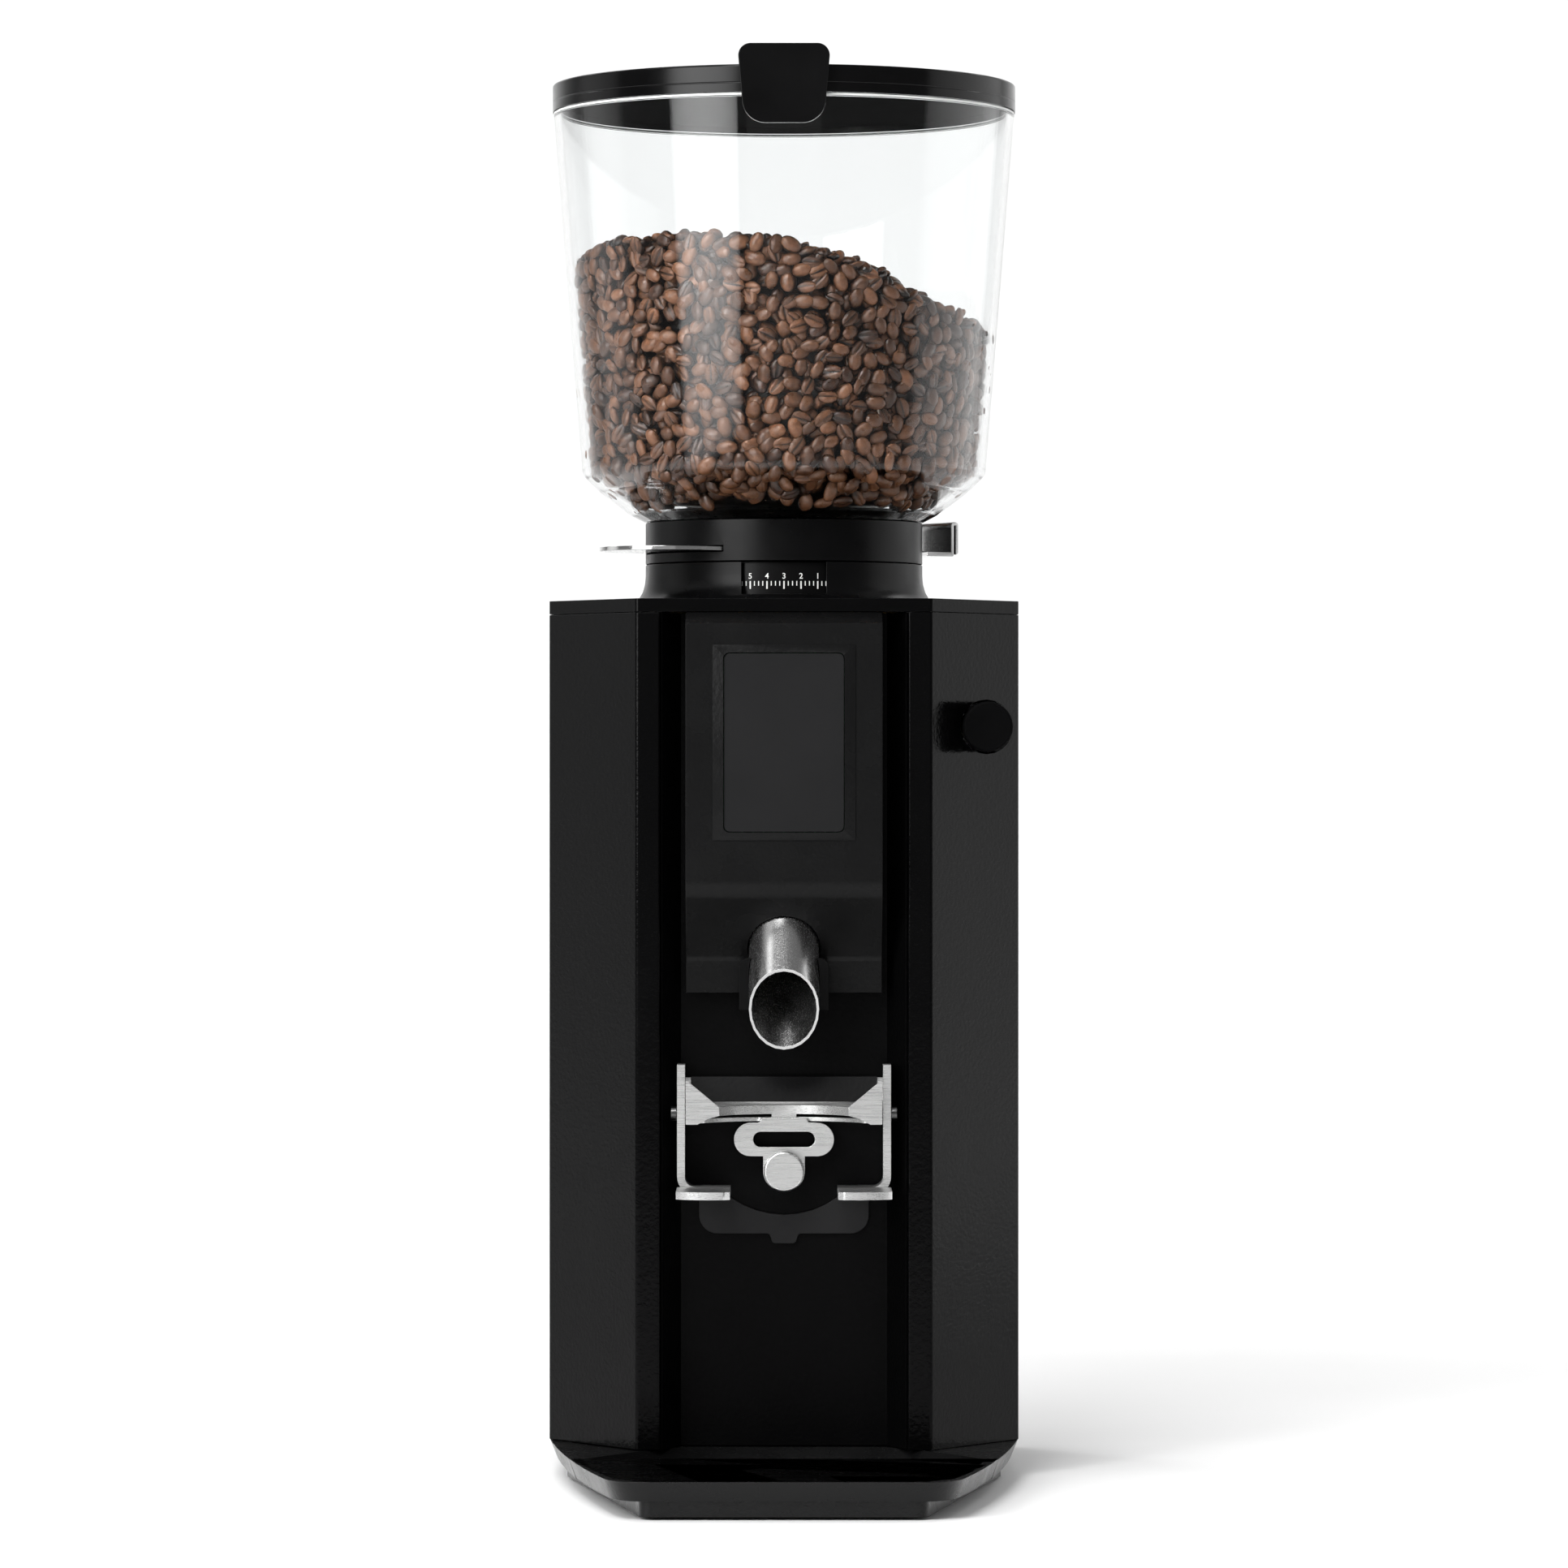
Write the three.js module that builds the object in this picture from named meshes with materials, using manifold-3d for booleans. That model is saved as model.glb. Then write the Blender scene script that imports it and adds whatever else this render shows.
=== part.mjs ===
// A burr coffee grinder for espresso: a cabinet with a motor and flat burrs, a bean hopper with a shutter,
// a spout over a portafilter fork, and a grounds tray.
// Millimetres: +X is right, +Y is back, +Z is up, and the origin is under the middle of the bounding box.
import * as THREE from "three";
import { mergeVertices } from "three/addons/utils/BufferGeometryUtils.js";
import Module from "manifold-3d";

const wasm = await Module();
wasm.setup();

const deg = THREE.MathUtils.degToRad;

// Gap between two pieces that touch.
const FIT = 0.3;
// Thickness of the bent sheet panels.
const SHEET = 2;

// Heights of the main levels.
const DECK_TOP = 15.4;
const LIP_BOTTOM = 7.2;
const PAN_BOTTOM = 1.2;
const BODY_TOP = 355.5;
const CAP_TOP = 360.9;
const WINDOW_TOP = 377;
const COLLAR_TOP = 394.6;
const RIM_TOP = 570.2;
const LID_TOP = 577.5;
const BADGE_TOP = 585.5;

// Plan of the cabinet.
const HALF_DEPTH = 162;
const HALF_WIDTH = 96.65;
const FRONT_Y = -30;
const FRONT_HALF = 59.8;
const FACET_END_Y = 18.7;
const REAR_RADIUS = 14;
const RECESS_HALF = 50.6;
const RECESS_BACK_HALF = 42.05;
const RECESS_BACK_Y = -10.8;

// The upright axis that the burrs, the motor and the hopper share.
const AXIS_Y = 65;
const COLLAR_R = 57.9;
const SLEEVE_R = 48;
const HOPPER_R = 96.8;
const THROAT_R = 24;
// Sides of the large turned pieces.
const ROUND = 48;

// The shutter slides along this direction, to the rear right.
const BLADE_ANGLE = deg(36);

const root = new THREE.Group();
root.name = "burr_coffee_grinder";

// ---- helpers ----

// The solid inside a closed geometry.
function solid(geometry) {
  const bare = geometry.index ? geometry.toNonIndexed() : geometry.clone();
  bare.deleteAttribute("normal");
  bare.deleteAttribute("uv");
  const merged = mergeVertices(bare, 1e-3);
  const corners = merged.index.array;
  const kept = [];
  for (let i = 0; i < corners.length; i += 3) {
    const [a, b, c] = [corners[i], corners[i + 1], corners[i + 2]];
    if (a !== b && b !== c && a !== c) kept.push(a, b, c);
  }
  const mesh = new wasm.Mesh({
    numProp: 3,
    vertProperties: new Float32Array(merged.attributes.position.array),
    triVerts: new Uint32Array(kept),
  });
  return new wasm.Manifold(mesh);
}

function box(x0, x1, y0, y1, z0, z1) {
  const geometry = new THREE.BoxGeometry(x1 - x0, y1 - y0, z1 - z0);
  geometry.translate((x0 + x1) / 2, (y0 + y1) / 2, (z0 + z1) / 2);
  return solid(geometry);
}

// A closed outline through the given points. A third number rounds that corner.
function outline(points) {
  const shape = new THREE.Shape();
  const count = points.length;
  points.forEach(([x, y, radius = 0], i) => {
    const here = new THREE.Vector2(x, y);
    if (!radius) {
      if (i) shape.lineTo(x, y);
      else shape.moveTo(x, y);
      return;
    }
    const [beforeX, beforeY] = points[(i + count - 1) % count];
    const [afterX, afterY] = points[(i + 1) % count];
    const before = new THREE.Vector2(beforeX, beforeY).sub(here).normalize();
    const after = new THREE.Vector2(afterX, afterY).sub(here).normalize();
    const half = before.angleTo(after) / 2;
    const reach = radius / Math.tan(half);
    const start = here.clone().addScaledVector(before, reach);
    const middle = before.clone().add(after).normalize();
    const centre = here.clone().addScaledVector(middle, radius / Math.sin(half));
    const end = here.clone().addScaledVector(after, reach);
    const from = Math.atan2(start.y - centre.y, start.x - centre.x);
    const to = Math.atan2(end.y - centre.y, end.x - centre.x);
    const clockwise = before.x * after.y - before.y * after.x > 0;
    if (i) shape.lineTo(start.x, start.y);
    else shape.moveTo(start.x, start.y);
    shape.absarc(centre.x, centre.y, radius, from, to, clockwise);
  });
  shape.closePath();
  return shape;
}

// The same points with their mirror image added behind them in reverse, for an outline even about x = 0.
function mirrored(points) {
  const other = points.map(([x, y, radius]) => [-x, y, radius]).reverse();
  return outline([...points, ...other]);
}

// A shape in plan pushed up from z0 to z1.
function prism(shape, z0, z1, curveSegments = 4) {
  const geometry = new THREE.ExtrudeGeometry(shape, { depth: z1 - z0, bevelEnabled: false, curveSegments });
  return solid(geometry.translate(0, 0, z0));
}

// A shape in x and z pushed along Y from y0 to y1.
function frontal(shape, y0, y1, curveSegments = 5) {
  const geometry = new THREE.ExtrudeGeometry(shape, { depth: y1 - y0, bevelEnabled: false, curveSegments });
  return solid(geometry.rotateX(Math.PI / 2).translate(0, y1, 0));
}

// A shape in y and z pushed along X from x0 to x1.
function sideways(shape, x0, x1, curveSegments = 5) {
  const geometry = new THREE.ExtrudeGeometry(shape, { depth: x1 - x0, bevelEnabled: false, curveSegments });
  geometry.applyMatrix4(new THREE.Matrix4().set(0, 0, 1, x0, 1, 0, 0, 0, 0, 1, 0, 0, 0, 0, 0, 1));
  return solid(geometry);
}

// A profile of [radius, height] points, outer side going up, turned about the upright axis at (0, y).
function turned(profile, segments = 32, y = AXIS_Y) {
  const points = profile.map(([radius, z]) => new THREE.Vector2(radius, z));
  const geometry = new THREE.LatheGeometry(points, segments);
  return solid(geometry.rotateX(Math.PI / 2).translate(0, y, 0));
}

function ring(inner, outer, z0, z1, segments = 32, y = AXIS_Y) {
  return turned([[inner, z0], [outer, z0], [outer, z1], [inner, z1], [inner, z0]], segments, y);
}

function disc(radius, z0, z1, segments = 32, x = 0, y = AXIS_Y) {
  return turned([[0, z0], [radius, z0], [radius, z1], [0, z1]], segments, y).translate([x, 0, 0]);
}

// A round rod along Y at (x, z).
function rodY(radius, x, z, y0, y1, segments = 20) {
  const geometry = new THREE.CylinderGeometry(radius, radius, y1 - y0, segments);
  return solid(geometry.translate(x, (y0 + y1) / 2, z));
}

// A round rod along X at (y, z).
function rodX(radius, y, z, x0, x1, segments = 12) {
  const geometry = new THREE.CylinderGeometry(radius, radius, x1 - x0, segments);
  return solid(geometry.rotateZ(Math.PI / 2).translate((x0 + x1) / 2, y, z));
}

function joined(...solids) {
  return solids.reduce((whole, next) => whole.add(next));
}

function material(color, roughness, metalness = 0, extra = {}) {
  return new THREE.MeshStandardMaterial({ color, roughness, metalness, ...extra });
}

// Adds one named piece to the object.
function piece(name, made, look) {
  const { vertProperties, triVerts, numProp, numVert } = made.getMesh();
  const positions = new Float32Array(numVert * 3);
  for (let i = 0; i < numVert; i++) {
    positions.set(vertProperties.subarray(i * numProp, i * numProp + 3), i * 3);
  }
  const geometry = new THREE.BufferGeometry();
  geometry.setAttribute("position", new THREE.BufferAttribute(positions, 3));
  geometry.setIndex(new THREE.BufferAttribute(new Uint32Array(triVerts), 1));
  const flat = geometry.toNonIndexed();
  flat.computeVertexNormals();
  const mesh = new THREE.Mesh(flat, look);
  mesh.name = name;
  root.add(mesh);
}

// Moves a solid that is built along +X onto the shutter's direction.
function alongBlade(made) {
  return made.rotate([0, 0, THREE.MathUtils.radToDeg(BLADE_ANGLE)]).translate([0, AXIS_Y, 0]);
}

// ---- materials ----

const blackPaint = () => material(0x18181a, 0.45);
const blackPlastic = () => material(0x141415, 0.4);
const darkGrey = () => material(0x26262a, 0.5);
const steel = () => material(0xb9bbbe, 0.28, 1);
const toolSteel = () => material(0x8c8e90, 0.35, 1);
const clearPlastic = () => material(0xe8ecee, 0.08, 0, { transparent: true, opacity: 0.3 });
const copper = () => material(0x9a5a34, 0.4, 1);
const rubber = () => material(0x101010, 0.85);

// ---- base and tray ----

const TRAY_SEAM = [[0, RECESS_BACK_Y], [42.2, -10.5], [60.4, -30.4], [72.6, -47.6], [84.9, -64.3]];

// The base's plan: straight sides that curve slowly in to a short, round-cornered front edge.
function basePlan() {
  const rear = HALF_DEPTH;
  const front = -HALF_DEPTH;
  const straightEnd = 24;
  const bulge = [88.8, -68];
  const shoulder = [70.5, -146];
  const cornerX = 66.7;
  const frontHalf = 52;
  const shape = new THREE.Shape();
  shape.moveTo(HALF_WIDTH - REAR_RADIUS, rear);
  shape.lineTo(REAR_RADIUS - HALF_WIDTH, rear);
  shape.quadraticCurveTo(-HALF_WIDTH, rear, -HALF_WIDTH, rear - REAR_RADIUS);
  shape.lineTo(-HALF_WIDTH, straightEnd);
  shape.quadraticCurveTo(-bulge[0], bulge[1], -shoulder[0], shoulder[1]);
  shape.quadraticCurveTo(-cornerX, front, -frontHalf, front);
  shape.lineTo(frontHalf, front);
  shape.quadraticCurveTo(cornerX, front, ...shoulder);
  shape.quadraticCurveTo(...bulge, HALF_WIDTH, straightEnd);
  shape.lineTo(HALF_WIDTH, rear - REAR_RADIUS);
  shape.quadraticCurveTo(HALF_WIDTH, rear, HALF_WIDTH - REAR_RADIUS, rear);
  return shape;
}

// A slab of the base's plan whose faces lean in towards the bottom.
function leaningSlab(z0, z1, lean) {
  const depth = z1 - z0;
  const geometry = new THREE.ExtrudeGeometry(basePlan(), { depth, bevelEnabled: false, curveSegments: 8 });
  const position = geometry.getAttribute("position");
  for (let i = 0; i < position.count; i++) {
    if (position.getZ(i) > depth / 2) continue;
    position.setX(i, position.getX(i) * (1 - lean / HALF_WIDTH));
    position.setY(i, position.getY(i) * (1 - lean / HALF_DEPTH));
  }
  return solid(geometry.translate(0, 0, z0));
}

// The ground in front of the tray seam, moved back by the gap.
function trayRegion(gap) {
  const far = 130;
  const seam = TRAY_SEAM.map(([x, y]) => [x, y - gap]);
  const right = [[far, -HALF_DEPTH - 10], [far, -64.3 - gap], ...seam.slice(1).reverse()];
  return mirrored(right);
}

const FOOT_X = [-46, 46, -76, 76];
const FOOT_Y = [-136, -136, 136, 136];
const FOOT_R = 9;
const FOOT_HEIGHT = 4;
// The lean of the base's edge: how far its foot lies inside its top.
const EDGE_LEAN = 3.4;
const BASE_FLOOR = 4;

// A tray-like casting, open on top under the cabinet, with a pocket for each foot.
function basePlate() {
  const slab = leaningSlab(LIP_BOTTOM, DECK_TOP, EDGE_LEAN);
  const deck = slab.subtract(prism(trayRegion(-FIT), LIP_BOTTOM - 1, DECK_TOP + 1));
  const pan = prism(
    mirrored([[89, 154, 12], [89, 10, 6], [71.4, -78], [55.7, -155.5, 5]]),
    PAN_BOTTOM,
    LIP_BOTTOM + 0.01,
  );
  const hollow = prism(mirrored([[86, 150, 10], [86, 12, 6], [76, -3, 6]]), BASE_FLOOR, DECK_TOP + 1);
  let whole = joined(deck, pan).subtract(hollow);
  FOOT_X.forEach((x, i) => {
    if (FOOT_Y[i] > 0) whole = whole.add(disc(FOOT_R + 4, PAN_BOTTOM, LIP_BOTTOM + 1, 20, x, FOOT_Y[i]));
    whole = whole.subtract(disc(FOOT_R + FIT, 0, FOOT_HEIGHT + FIT, 20, x, FOOT_Y[i]));
  });
  return whole;
}

// A shallow dish that lifts off the base, with sloping inner walls.
function groundsTray() {
  const rim = 1.8;
  const floor = 9.4;
  const slab = leaningSlab(LIP_BOTTOM + FIT, DECK_TOP, EDGE_LEAN).intersect(
    prism(trayRegion(0), LIP_BOTTOM, DECK_TOP + 1),
  );
  const mouth = mirrored([
    [41.6, RECESS_BACK_Y - rim],
    [59, -31.6],
    [71, -48.6],
    [84.9 - rim - 1.4, -66],
    [75.2, -118],
    [66.8, -150, 6],
    [56, rim - HALF_DEPTH, 6],
  ]);
  const depth = DECK_TOP - floor + 1;
  const geometry = new THREE.ExtrudeGeometry(mouth, { depth, bevelEnabled: false, curveSegments: 4 });
  const position = geometry.getAttribute("position");
  const middleY = -90;
  const shrink = 0.9;
  for (let i = 0; i < position.count; i++) {
    if (position.getZ(i) > depth / 2) continue;
    position.setX(i, position.getX(i) * shrink);
    position.setY(i, middleY + (position.getY(i) - middleY) * shrink);
  }
  return slab.subtract(solid(geometry.translate(0, 0, floor)));
}

piece("base_plate", basePlate(), blackPaint());
piece("grounds_tray", groundsTray(), blackPaint());
["foot_pad_fl", "foot_pad_fr", "foot_pad_rl", "foot_pad_rr"].forEach((name, i) => {
  piece(name, disc(FOOT_R, 0, FOOT_HEIGHT, 20, FOOT_X[i], FOOT_Y[i]), rubber());
});

// ---- cabinet ----

const PANEL_BOTTOM = DECK_TOP + FIT;
const PANEL_TOP = BODY_TOP - FIT;
const REAR_SPLIT_Y = 140;

// The mains inlet and the power switch, side by side in the rear cover.
const SOCKET_Z = 50;
const INLET_HALF = 24;
const INLET_HEIGHT = 20;
const SWITCH_X = [44, 58];

// The adjustment knob's place on the right facet.
const KNOB_X = 83;
const KNOB_Z = 309;
const KNOB_R = 10.3;

// One side of the cabinet: a sheet bent round the front strip, the facet and the side.
function sidePanel() {
  const turn = 2;
  return prism(
    outline([
      [50, -28.6],
      [RECESS_HALF, FRONT_Y, 1],
      [FRONT_HALF, FRONT_Y, turn],
      [HALF_WIDTH, FACET_END_Y, turn],
      [HALF_WIDTH, REAR_SPLIT_Y],
      [HALF_WIDTH - SHEET, REAR_SPLIT_Y],
      [HALF_WIDTH - SHEET, FACET_END_Y + 0.8],
      [FRONT_HALF - 0.8, FRONT_Y + SHEET],
      [RECESS_HALF + 1.3, FRONT_Y + SHEET],
      [51.6, -27.4],
    ]),
    PANEL_BOTTOM,
    PANEL_TOP,
    3,
  );
}

function rearCover() {
  const y0 = REAR_SPLIT_Y + FIT;
  const inner = REAR_RADIUS - SHEET;
  let cover = prism(
    outline([
      [-HALF_WIDTH, y0],
      [-HALF_WIDTH + SHEET, y0],
      [-HALF_WIDTH + SHEET, HALF_DEPTH - SHEET, inner],
      [HALF_WIDTH - SHEET, HALF_DEPTH - SHEET, inner],
      [HALF_WIDTH - SHEET, y0],
      [HALF_WIDTH, y0],
      [HALF_WIDTH, HALF_DEPTH, REAR_RADIUS],
      [-HALF_WIDTH, HALF_DEPTH, REAR_RADIUS],
    ]),
    PANEL_BOTTOM,
    PANEL_TOP,
  );
  const through = (x0, x1, z0, z1) => box(x0, x1, HALF_DEPTH - SHEET - 1, HALF_DEPTH + 1, z0, z1);
  const slots = 7;
  const slotPitch = 10;
  for (let i = 0; i < slots; i++) {
    const z = 250 + i * slotPitch;
    cover = cover.subtract(through(-50, 50, z, z + slotPitch * 0.4));
  }
  const [low, top] = [SOCKET_Z - INLET_HEIGHT / 2 - FIT, SOCKET_Z + INLET_HEIGHT / 2 + FIT];
  cover = cover.subtract(through(-INLET_HALF - FIT, INLET_HALF + FIT, low, top));
  return cover.subtract(through(SWITCH_X[0] - FIT, SWITCH_X[1] + FIT, low, top));
}

const SPOUT_R = 14.2;
const SPOUT_LEAN = deg(36);
const SPOUT_MOUTH = [-42, 194.7];

// A rod along the spout's axis, from its mouth upward.
function spoutRod(radius, from, to) {
  const geometry = new THREE.CylinderGeometry(radius, radius, to - from, 24);
  geometry.rotateX(Math.PI / 2).translate(0, 0, (from + to) / 2);
  return solid(geometry.rotateX(-SPOUT_LEAN).translate(0, ...SPOUT_MOUTH));
}

function recessLiner() {
  const gap = 0.4;
  const half = 48.6;
  const wallY = RECESS_BACK_Y;
  const liner = prism(
    mirrored([
      [RECESS_BACK_HALF, wallY],
      [half + 0.9, -27.8],
      [half + 2.4, -26],
      [half + 2.4, -24.6],
      [RECESS_BACK_HALF + gap + 1, wallY + SHEET],
    ]),
    PANEL_BOTTOM,
    PANEL_TOP,
  );
  return liner.subtract(spoutRod(SPOUT_R + 0.8, 20, 120));
}

piece("side_panel_left", sidePanel().mirror([1, 0, 0]), blackPaint());
piece(
  "side_panel_right",
  sidePanel().subtract(rodY(KNOB_R + 0.9, KNOB_X, KNOB_Z, -14, 34)),
  blackPaint(),
);
piece("rear_cover", rearCover(), blackPaint());
piece("recess_liner", recessLiner(), blackPaint());

// ---- front panel with the display ----

const PANEL_HALF = 39.8;
const FACE_Y = -40;
const LOWER_Y = -22;
const PANEL_LOW = 200.8;
const GLASS_HALF = 24.2;
const GLASS_LOW = 266.3;
const GLASS_TOP = 338.4;

// The side view of the front panel, moved in by the given thickness.
function panelSide(inset) {
  const back = RECESS_BACK_Y - FIT;
  return outline([
    [inset ? back + 1 : back, PANEL_LOW - (inset ? 1 : 0)],
    [LOWER_Y + inset, PANEL_LOW - (inset ? 1 : 0)],
    [LOWER_Y + inset, 214.8 + inset / 2, 5],
    [FACE_Y + inset, 242.4 + inset / 2, 14],
    [FACE_Y + inset, 350.5 - inset],
    [FRONT_Y + inset, 355.2 - inset],
    [inset ? back + 1 : back, 355.2 - inset],
  ]);
}

function frontPanel() {
  let shell = sideways(panelSide(0), -PANEL_HALF, PANEL_HALF, 4);
  shell = shell.subtract(sideways(panelSide(SHEET), -PANEL_HALF + SHEET, PANEL_HALF - SHEET, 4));
  shell = shell.subtract(box(-25.5, 25.5, FACE_Y - 1, FACE_Y + SHEET + 1, 265, 339.7));
  return shell.subtract(spoutRod(SPOUT_R + 0.7, -30, 80));
}

// The bezel slopes up from the panel to the glass on all four sides.
function displayFrame() {
  const y0 = FACE_Y - 1.6;
  const slope = 4.2;
  const outerHalf = 28.9;
  const outer = [[outerHalf, 262.8], [outerHalf, 341.9]];
  const geometry = new THREE.ExtrudeGeometry(mirrored(outer), {
    depth: 0.2,
    bevelEnabled: true,
    bevelSize: slope,
    bevelOffset: -slope,
    bevelThickness: 1.1,
    bevelSegments: 1,
    curveSegments: 4,
  });
  const plate = solid(geometry.rotateX(Math.PI / 2).translate(0, y0 + 1.3, 0));
  const front = plate.intersect(box(-40, 40, y0 - 1, FACE_Y - FIT, 250, 350));
  const sleeve = frontal(mirrored([[25.2, 265.3, 2], [25.2, 339.4, 2]]), FACE_Y - FIT - 0.01, FACE_Y + 4);
  const wellHalf = GLASS_HALF + FIT;
  const well = mirrored([[wellHalf, GLASS_LOW - FIT, 2.5], [wellHalf, GLASS_TOP + FIT, 2.5]]);
  return joined(front, sleeve).subtract(frontal(well, FACE_Y - 10, FACE_Y + 10));
}

function displayGlass() {
  const shape = mirrored([[GLASS_HALF, GLASS_LOW, 2.4], [GLASS_HALF, GLASS_TOP, 2.4]]);
  return frontal(shape, FACE_Y - 0.9, FACE_Y + 1.4);
}

piece("front_panel", frontPanel(), blackPaint());
piece("display_frame", displayFrame(), blackPlastic());
piece("display_glass", displayGlass(), material(0x2a2a2c, 0.08));
piece("display_board", box(-30, 30, -34.5, -32.5, 262, 343), material(0x1d4a2c, 0.5));

// ---- top cap and its collar ----

function topCap() {
  const plan = outline([
    [-FRONT_HALF, FRONT_Y, 2],
    [FRONT_HALF, FRONT_Y, 2],
    [HALF_WIDTH, FACET_END_Y, 2],
    [HALF_WIDTH, HALF_DEPTH, REAR_RADIUS],
    [-HALF_WIDTH, HALF_DEPTH, REAR_RADIUS],
    [-HALF_WIDTH, FACET_END_Y, 2],
  ]);
  return prism(plan, BODY_TOP, CAP_TOP).subtract(disc(SLEEVE_R + 1, BODY_TOP - 1, CAP_TOP + 1, ROUND));
}

// The fixed ring round the dial: it flares at the foot and has a window in front.
function capCollar() {
  const wall = 2.1;
  const flareWidth = 6.5;
  const flareHeight = 11.5;
  const steps = 5;
  const bottom = CAP_TOP + 0.05;
  const inner = COLLAR_R - wall;
  const profile = [[inner, bottom]];
  for (let i = 0; i <= steps; i++) {
    const turn = ((i / steps) * Math.PI) / 2;
    profile.push([COLLAR_R + flareWidth * (1 - Math.sin(turn)), bottom + flareHeight * (1 - Math.cos(turn))]);
  }
  profile.push([COLLAR_R, WINDOW_TOP], [inner, WINDOW_TOP], [inner, bottom]);
  const windowHalf = 17.4;
  const windowLow = 363.6;
  const front = AXIS_Y - COLLAR_R;
  const window = box(-windowHalf, windowHalf, front - 8, front + 20, windowLow, WINDOW_TOP + 1);
  return turned(profile, ROUND).subtract(window);
}

// ---- dial, adjustment ring and worm ----

const GEAR_Z = 309;
const GEAR_TEETH = 90;
const GEAR_PITCH_R = 76;
const WORM_ROOT_R = 5.2;
const WORM_TIP_R = 8.6;
const TOOTH_PITCH = (2 * Math.PI * GEAR_PITCH_R) / GEAR_TEETH;
const WORM_FRONT_Y = 50.5;
const WORM_BACK_Y = 79.5;

// The ring that turns the upper burr, with a sector of teeth on its right.
function adjustmentGear() {
  const ringR = 66;
  const rootR = KNOB_X - WORM_TIP_R - 0.6;
  const tipR = KNOB_X - WORM_ROOT_R - 0.5;
  const pitch = 360 / GEAR_TEETH;
  const teeth = 16;
  const rootWidth = 2.2;
  const tipWidth = 1.1;
  const points = [];
  const first = (-(teeth - 1) / 2) * pitch;
  const at = (radius, angle) => [radius * Math.cos(angle), radius * Math.sin(angle)];
  points.push(at(ringR - 3, deg(first - 4)));
  for (let i = 0; i < teeth; i++) {
    const angle = deg(first + i * pitch);
    points.push(at(rootR, angle - rootWidth / 2 / rootR));
    points.push(at(tipR, angle - tipWidth / 2 / tipR));
    points.push(at(tipR, angle + tipWidth / 2 / tipR));
    points.push(at(rootR, angle + rootWidth / 2 / rootR));
  }
  points.push(at(ringR - 3, deg(-first + 4)));
  for (let i = 6; i > -7; i--) points.push(at(ringR - 4, deg((-first * i) / 6)));
  const sector = prism(outline(points), GEAR_Z - 2.5, GEAR_Z + 2.5).translate([0, AXIS_Y, 0]);
  const low = 303;
  const sleeveIn = SLEEVE_R - 4;
  const ringBody = turned(
    [
      [28, low],
      [ringR, low],
      [ringR, low + 12],
      [SLEEVE_R, low + 12],
      [SLEEVE_R, CAP_TOP],
      [sleeveIn, CAP_TOP],
      [sleeveIn, low + 5],
      [28, low + 5],
      [28, low],
    ],
    36,
  );
  return joined(ringBody, sector);
}

// A worm with one right-handed thread, along +Y.
function wormThread() {
  const around = 12;
  const turns = (WORM_BACK_Y - WORM_FRONT_Y) / TOOTH_PITCH - 1;
  const steps = Math.round(turns * around);
  const rootHalf = 1.2;
  const tipHalf = 0.6;
  const inner = WORM_ROOT_R - 1;
  const section = [
    [inner, -rootHalf],
    [WORM_ROOT_R, -rootHalf],
    [WORM_TIP_R, -tipHalf],
    [WORM_TIP_R, tipHalf],
    [WORM_ROOT_R, rootHalf],
    [inner, rootHalf],
  ];
  const positions = [];
  const start = WORM_FRONT_Y + TOOTH_PITCH / 2;
  for (let i = 0; i <= steps; i++) {
    const turn = (i / around) * 2 * Math.PI;
    const along = start + (i / around) * TOOTH_PITCH;
    section.forEach(([radius, offset]) => {
      positions.push(radius * Math.sin(turn), along + offset, radius * Math.cos(turn));
    });
  }
  const faces = [];
  const n = section.length;
  for (let i = 0; i < steps; i++) {
    for (let j = 0; j < n; j++) {
      const a = i * n + j;
      const b = i * n + ((j + 1) % n);
      faces.push(a, a + n, b, b, a + n, b + n);
    }
  }
  for (let j = 1; j < n - 1; j++) {
    faces.push(0, j, j + 1);
    faces.push(steps * n, steps * n + j + 1, steps * n + j);
  }
  const geometry = new THREE.BufferGeometry();
  geometry.setAttribute("position", new THREE.Float32BufferAttribute(positions, 3));
  geometry.setIndex(faces);
  return solid(geometry);
}

// The thread starts at the turn where it falls between two teeth of the ring.
const WORM_START = 180;

function wormShaft() {
  const core = rodY(WORM_ROOT_R, KNOB_X, KNOB_Z, WORM_FRONT_Y - 1, WORM_BACK_Y + 1, 20);
  const shaft = rodY(3, KNOB_X, KNOB_Z, 8, 96, 16);
  const thread = wormThread().rotate([0, WORM_START, 0]).translate([KNOB_X, 0, KNOB_Z]);
  return joined(core, shaft, thread);
}

const KNOB_FACE_Y = -18.8;

function adjustmentKnob() {
  const chamfer = 0.8;
  const profile = [
    [0, KNOB_FACE_Y],
    [KNOB_R - chamfer, KNOB_FACE_Y],
    [KNOB_R, KNOB_FACE_Y + chamfer],
    [KNOB_R, 14],
    [0, 14],
  ];
  const geometry = new THREE.LatheGeometry(profile.map(([r, y]) => new THREE.Vector2(r, y)), 24);
  const knob = solid(geometry.translate(KNOB_X, 0, KNOB_Z));
  return knob.subtract(rodY(3.3, KNOB_X, KNOB_Z, 7.7, 20, 16));
}

function wormBlock(y0, y1) {
  const block = box(75.8, HALF_WIDTH - SHEET - FIT, y0, y1, KNOB_Z - 10, KNOB_Z + 10);
  return block.subtract(rodY(3.3, KNOB_X, KNOB_Z, y0 - 1, y1 + 1, 16));
}

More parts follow.
